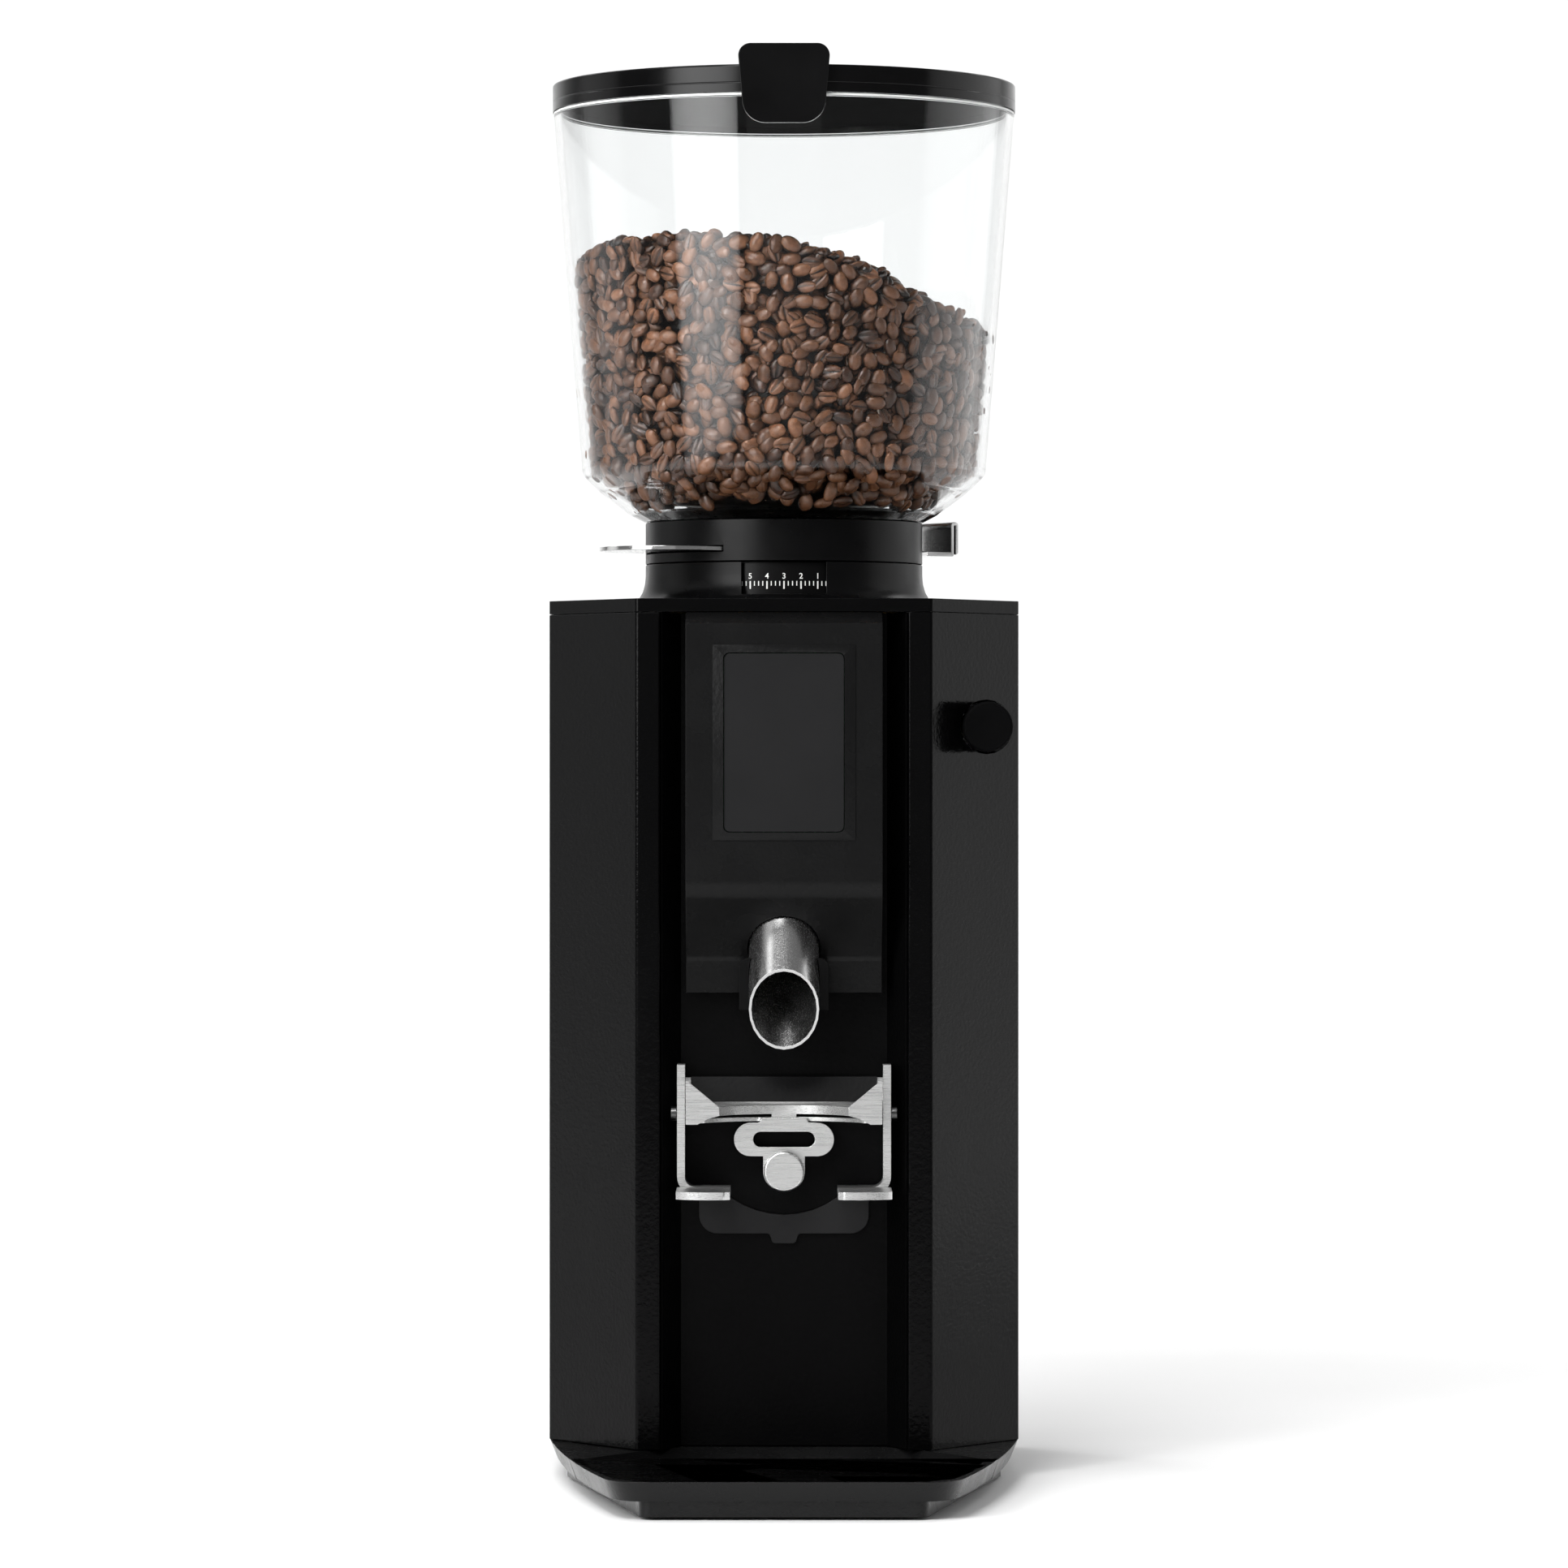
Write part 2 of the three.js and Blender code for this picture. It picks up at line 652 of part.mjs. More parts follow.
function dialRing() {
  const outer = 55.3;
  const wall = 3;
  const top = WINDOW_TOP - 0.4;
  const foot = CAP_TOP + 0.5;
  const hub = 44;
  const webTop = 364;
  return turned(
    [
      [hub, foot],
      [outer, foot],
      [outer, top],
      [outer - wall, top],
      [outer - wall, webTop],
      [hub, webTop],
      [hub, foot],
    ],
    ROUND,
  );
}

piece("top_cap", topCap(), blackPaint());
piece("cap_collar", capCollar(), blackPaint());
piece("dial_ring", dialRing(), blackPlastic());
piece("adjustment_gear", adjustmentGear(), toolSteel());
piece("worm_shaft", wormShaft(), toolSteel());
piece("adjustment_knob", adjustmentKnob(), blackPlastic());
piece("worm_block_front", wormBlock(30, 36), toolSteel());
piece("worm_block_rear", wormBlock(88, 94), toolSteel());

// ---- spout and duct ----

const SPOUT_CUT = deg(18.5);
const DUCT_BORE_R = 13.2;
const CHAMBER_R = 56;

// Everything in front of the spout's mouth, which faces the front and a little down.
function mouthCut() {
  const geometry = new THREE.BoxGeometry(60, 60, 80);
  geometry.translate(0, -30, 0).rotateX(SPOUT_CUT).translate(0, ...SPOUT_MOUTH);
  return solid(geometry);
}

function spoutTube() {
  const tube = spoutRod(SPOUT_R, -40, 62).subtract(spoutRod(SPOUT_R - 1, -50, 70));
  return tube.subtract(mouthCut());
}

// Two ears that clasp the tube in front of the panel.
function spoutSaddle() {
  const half = 18.1;
  const top = 215;
  const shape = mirrored([[half, 194.2], [half, top, 3.4], [9, top]]);
  return frontal(shape, -33.5, LOWER_Y - 3 * FIT).subtract(spoutRod(SPOUT_R + FIT, -40, 80));
}

function dischargeDuct() {
  const duct = spoutRod(16, 54, 100).subtract(spoutRod(DUCT_BORE_R, 62, 101));
  const ahead = box(-30, 30, -80, RECESS_BACK_Y + SHEET + FIT, 180, 300);
  const socket = spoutRod(SPOUT_R + FIT, 50, 62.4);
  return duct.subtract(socket).subtract(disc(CHAMBER_R + FIT, 200, 340)).subtract(ahead);
}

piece("spout_tube", spoutTube(), steel());
piece("spout_saddle", spoutSaddle(), blackPlastic());
piece("discharge_duct", dischargeDuct(), blackPlastic());

// ---- portafilter fork and clip ----

const FORK_IN = 40.2;
const FORK_OUT = 43.35;
const PRONG_TOP = 122.3;
const PRONG_LOW = 119.2;
const PRONG_FRONT_Y = -70;
const PIVOT_Y = -24;
const PIVOT_Z = 151.8;

// The clip's ears stand just inside the fork.
const EAR_IN = 38.2;
const EAR_OUT = 39.8;

// A bent bracket: two upright sides, each bent in to a flat prong, joined by a web at the back.
function forkBracket() {
  const thick = FORK_OUT - FORK_IN;
  const side = frontal(
    outline([
      [FORK_IN, 171.8],
      [FORK_IN, PRONG_TOP, 4],
      [30, PRONG_TOP],
      [30, PRONG_LOW],
      [FORK_OUT, PRONG_LOW, 4 + thick],
      [FORK_OUT, 171.8],
    ]),
    FRONT_Y,
    -14.5,
    4,
  ).subtract(rodX(2.3, PIVOT_Y, PIVOT_Z, 30, 50));
  const prong = prism(
    outline([
      [21.7, -16],
      [FORK_OUT - 4, -16],
      [FORK_OUT - 4, FRONT_Y - 0.01],
      [FORK_OUT, FRONT_Y - 3],
      [FORK_OUT, PRONG_FRONT_Y + 6],
      [40.5, PRONG_FRONT_Y + 3.2],
      [36, PRONG_FRONT_Y + 1.2],
      [30, PRONG_FRONT_Y],
      [24, PRONG_FRONT_Y + 0.6, 1.5],
      [21.7, PRONG_FRONT_Y + 3],
    ]),
    PRONG_LOW,
    PRONG_TOP,
  );
  const half = joined(side, prong);
  const web = box(-FORK_OUT, FORK_OUT, -14.6, -11.4, 152, 166);
  const inBack = box(-41.8, 41.8, -15, RECESS_BACK_Y - FIT, 140, 180);
  return joined(half, half.mirror([1, 0, 0]), web.intersect(inBack.add(box(-50, 50, -15, -14, 140, 180))));
}

function backingPlate() {
  const half = 34.6;
  const low = 102.3;
  const shape = mirrored([[half, 120.5], [half, low, 7.6], [6, low, 1.5], [4.6, low - 4, 1.5]]);
  const plate = frontal(shape, -12.6, RECESS_BACK_Y - FIT);
  return plate.subtract(rodY(37, 0, 147, -20, 0, 40));
}

function splashGuard() {
  const shape = outline([[-15, 156.4], [-20, 156.4], [-16.4, 166.6], [-15, 166.6]]);
  return sideways(shape, -EAR_IN + FIT, EAR_IN - FIT);
}

const WING_Y = -36;
const CLIP_SHEET = 1.6;
const STRIP_R = 27.7;

// The sprung steel clip that holds the portafilter down: wings, a curved strip and a lip, on two ears.
function portafilterClip() {
  const earTop = 165.4;
  const earLow = 147.8;
  const wing = frontal(
    outline([
      [EAR_OUT, earTop],
      [39, earTop],
      [26.3, 154.9],
      [26.3, 151.3],
      [30.5, 150.2],
      [35, earLow],
      [EAR_OUT, earLow],
    ]),
    WING_Y,
    WING_Y + CLIP_SHEET,
  );
  const ear = sideways(
    outline([[WING_Y, earLow], [-18, earLow, 3], [-18, 156, 3], [-26, 160], [WING_Y, earTop]]),
    EAR_IN,
    EAR_OUT,
  ).subtract(rodX(2.3, PIVOT_Y, PIVOT_Z, 30, 50));
  const front = box(-50, 50, -80, WING_Y + 0.2, 140, 170);
  const strip = ring(STRIP_R, STRIP_R + CLIP_SHEET, 151.3, 154.9, 48, -17 - STRIP_R).subtract(front);
  const between = box(-EAR_OUT, EAR_OUT, -60, 0, 140, 160);
  const lip = ring(36, 38, 148.4, 150, 48, -51.5).subtract(front).intersect(between);
  const tab = box(-5, 5, -17, -14.4, 149, 152);
  const join = box(33.5, 39, WING_Y, WING_Y + 3, 148.4, 150);
  const half = joined(wing, ear, join);
  return joined(half, half.mirror([1, 0, 0]), strip, lip, tab);
}

const SCREW_Z = 128.2;

// The plate that hangs from the clip: a slotted oval over a round-ended stem that takes the thumb screw.
function clipTongue() {
  const ovalLow = 134.1;
  const ovalTop = 147.8;
  const radius = (ovalTop - ovalLow) / 2 - 0.01;
  const shape = mirrored([
    [8.5, SCREW_Z - 8.5, 8.4],
    [8.5, ovalLow],
    [20.35, ovalLow, radius],
    [20.35, ovalTop, radius],
    [10, ovalTop, 1],
    [9, 149.8],
  ]);
  const slot = mirrored([[12.55, 137.9, 3], [12.55, 144.1, 3]]);
  const plate = frontal(shape, -18.9, -17.3, 6).subtract(frontal(slot, -25, -10, 4));
  return plate.subtract(rodY(2.8, 0, SCREW_Z, -25, -10, 16));
}

function thumbScrew() {
  const headR = 8.2;
  const chamfer = 0.6;
  const face = -26.5;
  const back = -19.2;
  const shankR = 2.5;
  const profile = [
    [0, face],
    [headR - chamfer, face],
    [headR, face + chamfer],
    [headR, back - chamfer],
    [headR - chamfer, back],
    [shankR, back],
    [shankR, back + 6],
    [0, back + 6],
  ];
  const geometry = new THREE.LatheGeometry(profile.map(([r, y]) => new THREE.Vector2(r, y)), 32);
  return solid(geometry.translate(0, 0, SCREW_Z));
}

// A shouldered pin: a shank through the fork and the ear, and a round head outside.
function clipPin() {
  const shank = rodX(2, PIVOT_Y, PIVOT_Z, 37.4, 44);
  return joined(shank, rodX(3, PIVOT_Y, PIVOT_Z, FORK_OUT + FIT, 45.9));
}

piece("fork_bracket", forkBracket(), steel());
piece("backing_plate", backingPlate(), darkGrey());
piece("splash_guard", splashGuard(), blackPlastic());
piece("portafilter_clip", portafilterClip(), steel());
piece("clip_tongue", clipTongue(), steel());
piece("clip_pin_left", clipPin().mirror([1, 0, 0]), steel());
piece("clip_pin_right", clipPin(), steel());
piece("thumb_screw", thumbScrew(), steel());

// ---- hopper, shutter and lid ----

const HOPPER_WALL = 3;
// The top of the wall steps in, so that the lid's band fits over it flush with the outside.
const STEP_Z = 564.7;
const STEP_R = 95;
const HOPPER_OUTSIDE = [
  [58.1, COLLAR_TOP + FIT],
  [64.1, 397.9],
  [69.8, 401.9],
  [76.8, 407.4],
  [83.1, 413.3],
  [84.6, 416],
  [96.3, STEP_Z],
  [STEP_R, STEP_Z],
  [STEP_R, RIM_TOP],
];
const HOPPER_INSIDE = [
  [HOPPER_R - HOPPER_WALL, RIM_TOP],
  [81.5, 416.6],
  [80.6, 415.1],
  [74.7, 409.7],
  [68, 404.4],
  [62.5, 400.6],
  [56.6, 397.8],
  [55, COLLAR_TOP + FIT],
];

function hopper() {
  return turned([...HOPPER_OUTSIDE, ...HOPPER_INSIDE, HOPPER_OUTSIDE[0]], ROUND);
}

const BLADE_LOW = 381.7;
const BLADE_TOP = 383.4;
const BLADE_HALF = 27;
const TONGUE_CENTRE = -61;
const HANDLE_AT = 72.7;
const HANDLE_HALF = 20;
const HANDLE_TOP = 396.3;

function hopperCollar() {
  const spigot = 51.4;
  const low = WINDOW_TOP + FIT;
  const ringBody = turned(
    [
      [THROAT_R, 374],
      [48, 374],
      [48, 367],
      [spigot, 367],
      [spigot, low],
      [COLLAR_R, low],
      [COLLAR_R, COLLAR_TOP],
      [THROAT_R, COLLAR_TOP],
      [THROAT_R, 374],
    ],
    ROUND,
  );
  const slot = box(-100, 100, -BLADE_HALF - FIT, BLADE_HALF + FIT, BLADE_LOW - FIT, BLADE_TOP + FIT);
  return ringBody.subtract(alongBlade(slot));
}

function hopperFloor() {
  const low = COLLAR_TOP + FIT;
  return turned([[THROAT_R, low], [54.6, low], [54.6, 396.4], [28, 398], [THROAT_R, 398], [THROAT_R, low]]);
}

// The beans as one plain solid with a heap that falls away to the right.
function beanFill() {
  const gap = 1.5;
  const inside = HOPPER_INSIDE.slice(1, 7).reverse().map(([r, z]) => [r - gap, z + gap]);
  const fill = turned([[0, 399.4], ...inside, [87.5, 518], [0, 518]], 24);
  const above = new THREE.BoxGeometry(300, 300, 80);
  above.translate(0, 0, 40).rotateY(deg(14)).translate(0, AXIS_Y, 507);
  return fill.subtract(solid(above));
}

// The sliding shutter: a plate with a round port, a half-round tongue in front and a folded handle behind.
function shutterBlade() {
  const shape = new THREE.Shape();
  shape.moveTo(TONGUE_CENTRE, BLADE_HALF);
  shape.absarc(TONGUE_CENTRE, 0, BLADE_HALF, Math.PI / 2, (3 * Math.PI) / 2, false);
  shape.lineTo(52, -BLADE_HALF);
  shape.lineTo(60, -HANDLE_HALF);
  shape.lineTo(HANDLE_AT + 1, -HANDLE_HALF);
  shape.lineTo(HANDLE_AT + 1, HANDLE_HALF);
  shape.lineTo(60, HANDLE_HALF);
  shape.lineTo(52, BLADE_HALF);
  shape.closePath();
  const plate = prism(shape, BLADE_LOW, BLADE_TOP, 14).subtract(disc(THROAT_R + 1, 370, 390, 40, 0, 0));
  const sheet = 1.5;
  const slit = 0.9;
  const outerLeg = HANDLE_AT + sheet + slit;
  const outerFoot = BLADE_LOW + 0.8;
  const handle = [
    [HANDLE_AT, BLADE_LOW, 1],
    [HANDLE_AT + sheet, BLADE_LOW, 0.5],
    [HANDLE_AT + sheet, HANDLE_TOP - sheet],
    [outerLeg, HANDLE_TOP - sheet],
    [outerLeg, outerFoot],
    [outerLeg + sheet, outerFoot, 1.2],
    [outerLeg + sheet, HANDLE_TOP, 1.6],
    [HANDLE_AT, HANDLE_TOP, 1.6],
  ];
  const tab = frontal(outline(handle.reverse()), -HANDLE_HALF, HANDLE_HALF, 3);
  return alongBlade(joined(plate, tab));
}

const BAND_LOW = STEP_Z + 1.5;

// A flat lid: a shallow plug inside the rim, and a band that hangs down outside it.
function lid() {
  const plugLow = 568.6;
  const plugR = 92.4;
  return turned(
    [
      [0, plugLow],
      [plugR, plugLow],
      [plugR, RIM_TOP + FIT],
      [STEP_R + FIT, RIM_TOP + FIT],
      [STEP_R + FIT, BAND_LOW],
      [HOPPER_R, BAND_LOW],
      [HOPPER_R, LID_TOP - 1],
      [HOPPER_R - 1, LID_TOP],
      [0, LID_TOP],
    ],
    ROUND,
  );
}

// The lid's grip: a rounded plate on the front edge, held by a lug over the top.
function lidBadge() {
  const front = -35;
  const back = AXIS_Y - HOPPER_R - FIT;
  const plate = frontal(mirrored([[16.2, 553.3, 9.5], [19, BADGE_TOP, 5]]), front, back, 8);
  return joined(plate, box(-12, 12, back - 1, -20, LID_TOP + FIT, 580.4));
}

piece("hopper", hopper(), clearPlastic());
piece("hopper_collar", hopperCollar(), blackPlastic());
piece("hopper_floor", hopperFloor(), blackPlastic());
piece("bean_fill", beanFill(), material(0x5a3a26, 0.6));
piece("shutter_blade", shutterBlade(), steel());
piece("lid", lid(), blackPlastic());
piece("lid_badge", lidBadge(), blackPlastic());
piece("lid_seal", ring(STEP_R + FIT, 96.5, STEP_Z + FIT, BAND_LOW - FIT, ROUND), material(0xdadbd8, 0.5));

// ---- burrs ----

const SHAFT_R = 7;

// A flat burr: a ring with straight cutting grooves set off its radius.
function burr(low, top, grooveLow, grooveTop) {
  const outer = 41.5;
  const inner = 25;
  let made = ring(inner, outer, low, top, 36);
  const grooves = 8;
  for (let i = 0; i < grooves; i++) {
    const groove = box(inner - 3, outer - 3.5, 6, 8.2, grooveLow, grooveTop);
    made = made.subtract(groove.rotate([0, 0, (i * 360) / grooves]).translate([0, AXIS_Y, 0]));
  }
  return made;
}

function burrRotor() {
  const disk = turned([[0, 258], [46, 258], [46, 266], [24, 266], [18, 270], [0, 270]], 36);
  const sweep = box(45.5, 49.2, -3, 3, 255, 265);
  const sweeps = joined(sweep, sweep.rotate([0, 0, 180])).translate([0, AXIS_Y, 0]);
  return joined(disk, sweeps).subtract(disc(SHAFT_R + FIT, 250, 263.3, 20));
}

function burrChamber() {
  const inner = 50;
  const chamber = turned(
    [[9, 246], [CHAMBER_R, 246], [CHAMBER_R, 302.4], [inner, 302.4], [inner, 252], [9, 252], [9, 246]],
    36,
  );
  return chamber.subtract(spoutRod(DUCT_BORE_R, 60, 112));
}

function upperBurrCarrier() {
  const plateLow = 284.6;
  return turned(
    [
      [THROAT_R, plateLow],
      [47, plateLow],
      [47, 302.6],
      [27, 302.6],
      [27, 372],
      [THROAT_R, 372],
      [THROAT_R, plateLow],
    ],
    32,
  );
}

piece("burr_chamber", burrChamber(), toolSteel());
piece("upper_burr_carrier", upperBurrCarrier(), toolSteel());
piece("upper_burr", burr(275.2, 284.3, 275, 278), toolSteel());
piece("lower_burr", burr(266.3, 274.6, 272, 275), toolSteel());
piece("burr_rotor", burrRotor(), toolSteel());

// ---- motor ----

const MOTOR_R = 58;
const MOTOR_WALL = 6;
const MOTOR_LOW = 100;
const STATOR_LOW = MOTOR_LOW + 22;
const STATOR_TOP = 188;
const BEARING_R = 15;
const BEARING_HEIGHT = 6;

// A cup that holds the lower bearing and the foot of the stator.
function motorBellBottom() {
  const floor = MOTOR_LOW + MOTOR_WALL;
  return turned(
    [
      [SHAFT_R + 1, MOTOR_LOW],
      [MOTOR_R, MOTOR_LOW],
      [MOTOR_R, STATOR_LOW - FIT],
      [MOTOR_R - MOTOR_WALL, STATOR_LOW - FIT],
      [MOTOR_R - MOTOR_WALL, floor],
      [BEARING_R + 3, floor],
      [BEARING_R + 3, floor + BEARING_HEIGHT],
      [BEARING_R, floor + BEARING_HEIGHT],
      [BEARING_R, floor],
      [SHAFT_R + 1, floor],
      [SHAFT_R + 1, MOTOR_LOW],
    ],
    28,
  );
}

// The upper bell carries the burr chamber on its neck.
function motorBellTop() {
  const low = STATOR_TOP + FIT;
  const inner = MOTOR_R - MOTOR_WALL;
  return turned(
    [
      [inner, low],
      [MOTOR_R, low],
      [MOTOR_R, 212],
      [40, 216],
      [40, 245.7],
      [BEARING_R, 245.7],
      [BEARING_R, 208],
      [inner, 204],
      [inner, low],
    ],
    28,
  );
}

function bearing(low, height) {
  return ring(SHAFT_R + FIT, BEARING_R - FIT, low, low + height, 20);
}

piece("motor_stand", ring(MOTOR_R - 5, MOTOR_R - 1, BASE_FLOOR + FIT, MOTOR_LOW - FIT, 28), blackPaint());
piece("motor_bell_bottom", motorBellBottom(), material(0x8e9092, 0.5, 1));
piece("motor_bell_top", motorBellTop(), material(0x8e9092, 0.5, 1));
piece("motor_stator", ring(39, MOTOR_R, STATOR_LOW, STATOR_TOP, 28), copper());
piece("motor_rotor", ring(SHAFT_R + FIT, 38, STATOR_LOW + 8, STATOR_TOP - 8, 28), toolSteel());
piece("motor_shaft", disc(SHAFT_R, MOTOR_LOW + 3, 263, 20), toolSteel());
piece("bearing_lower", bearing(MOTOR_LOW + MOTOR_WALL + FIT, BEARING_HEIGHT - 2 * FIT), toolSteel());
piece("bearing_upper", bearing(226, 10), toolSteel());

// ---- electrics ----

const SOCKET_LOW = SOCKET_Z - INLET_HEIGHT / 2;
const SOCKET_TOP = SOCKET_Z + INLET_HEIGHT / 2;
const SOCKET_FACE = HALF_DEPTH - FIT;

function powerInlet() {
  const border = 2.5;
  const body = box(-INLET_HALF, INLET_HALF, 132, SOCKET_FACE, SOCKET_LOW, SOCKET_TOP);
  return body.subtract(box(-12, 12, 142, SOCKET_FACE + 1, SOCKET_LOW + border, SOCKET_TOP - border));
}

function switchFrame() {
  const [left, right] = SWITCH_X;
  const wall = 1.2;
  const frame = box(left, right, 146, SOCKET_FACE, SOCKET_LOW, SOCKET_TOP);
  const inside = box(left + wall, right - wall, 149, SOCKET_FACE + 1, SOCKET_LOW + 0.4, SOCKET_TOP - 0.4);
  return frame.subtract(inside);
}

// A rocker with a shallow V face, pressed in at the bottom.
function powerRocker() {
  const pivotY = 156;
  const shape = outline([
    [152, SOCKET_Z - 4],
    [158.6, SOCKET_Z - 9],
    [157.4, SOCKET_Z],
    [158.6, SOCKET_Z + 9],
    [152, SOCKET_Z + 4],
  ]);
  const rocker = sideways(shape, SWITCH_X[0] + 1.6, SWITCH_X[1] - 1.6);
  return rocker.translate([0, -pivotY, -SOCKET_Z]).rotate([8, 0, 0]).translate([0, pivotY, SOCKET_Z]);
}

piece("power_inlet", powerInlet(), blackPlastic());
piece("power_switch_frame", switchFrame(), blackPlastic());
piece("power_rocker", powerRocker(), material(0x9c1c1a, 0.35));
piece("control_board", box(78, 80, 56, 124, 60, 170), material(0x1d4a2c, 0.5));
piece("run_capacitor", disc(16, BASE_FLOOR + FIT, 80, 24, -68, 108), material(0xc8c9cb, 0.4));

export default root;
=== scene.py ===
"""The burr coffee grinder as it looks: black powder coat, a clear hopper of beans, a steel spout and fork.

The bare sizes of the hopper, lid, beans, dial and screws are in millimetres, and so are the edge roundings.
The frame, the materials, the studio, the lights and the camera are in metres.
"""

import math
import random

import bmesh
import bpy
import numpy as np
from mathutils import Matrix, Vector


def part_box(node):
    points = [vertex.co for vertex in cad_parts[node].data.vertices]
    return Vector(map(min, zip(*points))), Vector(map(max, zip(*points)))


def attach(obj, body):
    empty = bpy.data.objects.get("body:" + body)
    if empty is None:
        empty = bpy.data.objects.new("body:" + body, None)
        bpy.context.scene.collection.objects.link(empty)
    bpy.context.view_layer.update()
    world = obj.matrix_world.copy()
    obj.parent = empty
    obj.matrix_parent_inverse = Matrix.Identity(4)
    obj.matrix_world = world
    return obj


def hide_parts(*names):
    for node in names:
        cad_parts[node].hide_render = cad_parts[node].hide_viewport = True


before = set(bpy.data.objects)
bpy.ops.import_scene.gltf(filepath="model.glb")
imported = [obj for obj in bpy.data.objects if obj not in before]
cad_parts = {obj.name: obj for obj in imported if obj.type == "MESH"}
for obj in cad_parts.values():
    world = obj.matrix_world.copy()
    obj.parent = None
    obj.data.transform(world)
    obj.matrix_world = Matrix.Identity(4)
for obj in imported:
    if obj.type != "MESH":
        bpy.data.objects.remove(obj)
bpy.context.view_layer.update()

MM = 0.001
random.seed(7)
scene = bpy.context.scene

# The upright axis that the hopper, the dial and the burrs share, and the hopper's outer size.
HOPPER_LOW, HOPPER_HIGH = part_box("hopper")
AXIS_Y = (HOPPER_LOW.y + HOPPER_HIGH.y) / 2
HOPPER_R = (HOPPER_HIGH.x - HOPPER_LOW.x) / 2
RIM_Z = HOPPER_HIGH.z
HOPPER_FOOT_Z = HOPPER_LOW.z


# ---- materials ----


class Look:
    """A Principled material with short ways to add its texture nodes."""

    def __init__(self, name, color, roughness, metallic=0.0):
        self.material = bpy.data.materials.new(name)
        self.material.use_nodes = True
        self.tree = self.material.node_tree
        self.shader = self.tree.nodes["Principled BSDF"]
        self.set("Base Color", (*color, 1.0))
        self.set("Roughness", roughness)
        self.set("Metallic", metallic)
        self.place = self.node("ShaderNodeTexCoord").outputs["Object"]

    def node(self, kind, **settings):
        made = self.tree.nodes.new(kind)
        for key, value in settings.items():
            setattr(made, key, value)
        return made

    def link(self, source, target):
        self.tree.links.new(source, target)

    def set(self, socket, value):
        self.shader.inputs[socket].default_value = value

    def stretched(self, scale):
        """The place on the piece, in units that make the pattern longer along an axis with a small number."""
        mapping = self.node("ShaderNodeMapping")
        mapping.inputs["Scale"].default_value = scale
        self.link(self.place, mapping.inputs["Vector"])
        return mapping.outputs["Vector"]

    def noise(self, scale, detail=3.0, vector=None, roughness=0.5):
        made = self.node("ShaderNodeTexNoise")
        made.inputs["Scale"].default_value = scale
        made.inputs["Detail"].default_value = detail
        made.inputs["Roughness"].default_value = roughness
        self.link(vector or self.place, made.inputs["Vector"])
        return made.outputs["Fac"]

    def ranged(self, value, low, high, from_low=0.3, from_high=0.7):
        made = self.node("ShaderNodeMapRange")
        made.inputs["From Min"].default_value = from_low
        made.inputs["From Max"].default_value = from_high
        made.inputs["To Min"].default_value = low
        made.inputs["To Max"].default_value = high
        self.link(value, made.inputs["Value"])
        return made.outputs["Result"]

    def mixed(self, factor, first, second):
        made = self.node("ShaderNodeMix", data_type="RGBA")
        made.inputs["A"].default_value = (*first, 1.0)
        made.inputs["B"].default_value = (*second, 1.0)
        self.link(factor, made.inputs["Factor"])
        return made.outputs["Result"]

    def color_from(self, output):
        self.link(output, self.shader.inputs["Base Color"])

    def roughness_from(self, output):
        self.link(output, self.shader.inputs["Roughness"])

    def bump(self, height, distance, strength=1.0, under=None):
        made = self.node("ShaderNodeBump")
        made.inputs["Distance"].default_value = distance
        made.inputs["Strength"].default_value = strength
        self.link(height, made.inputs["Height"])
        if under:
            self.link(under, made.inputs["Normal"])
        self.link(made.outputs["Normal"], self.shader.inputs["Normal"])
        return made.outputs["Normal"]


def powder_coat(name, dark, light, roughness, shine=0.25):
    """Powder coat: a fine orange peel over faint cloudiness."""
    look = Look(name, dark, roughness)
    look.color_from(look.mixed(look.ranged(look.noise(9), 0, 1), dark, light))
    look.roughness_from(look.ranged(look.noise(60, 4), roughness - 0.05, roughness + 0.06))
    peel = look.bump(look.noise(620, 2), 0.00016, 0.55)
    look.bump(look.noise(2600, 1), 0.00003, 0.4, peel)
    look.set("Specular IOR Level", shine)
    return look.material


def moulded_plastic(name, color, roughness, grain=0.00002, shine=0.35):
    """Moulded plastic with a fine spark-eroded grain and faint handling marks."""
    look = Look(name, color, roughness)
    lighter = tuple(c * 1.5 + 0.001 for c in color)
    look.color_from(look.mixed(look.ranged(look.noise(30), 0, 1), color, lighter))
    look.roughness_from(look.ranged(look.noise(45, 5), roughness - 0.06, roughness + 0.08))
    look.bump(look.noise(3200, 2), grain, 0.5)
    look.set("Specular IOR Level", shine)
    return look.material


def brushed_steel(name, along, tone=0.62, roughness=0.27):
    """Stainless steel with brush lines running along the given axis."""
    look = Look(name, (tone, tone, tone * 1.01), roughness, metallic=1.0)
    fine = [2600.0, 2600.0, 2600.0]
    fine[along] = 45.0
    lines = look.noise(1, 4, look.stretched(fine), 0.6)
    look.roughness_from(look.ranged(lines, roughness - 0.07, roughness + 0.12))
    shade = look.ranged(look.noise(25, 4), 0, 1)
    look.color_from(look.mixed(shade, (tone * 0.94,) * 3, (tone * 1.06, tone * 1.06, tone * 1.05)))
    look.bump(lines, 0.000006, 0.35)
    look.set("Anisotropic", 0.35)
    return look.material


def clear_plastic():
    """Clear polycarbonate, a little hazy where it has been wiped."""
    look = Look("clear_plastic", (0.965, 0.975, 0.975), 0.03)
    look.set("IOR", 1.3)
    look.set("Transmission Weight", 1.0)
    wiped = look.noise(1, 4, look.stretched((60.0, 60.0, 14.0)), 0.6)
    look.roughness_from(look.ranged(wiped, 0.0, 0.02))
    return look.material


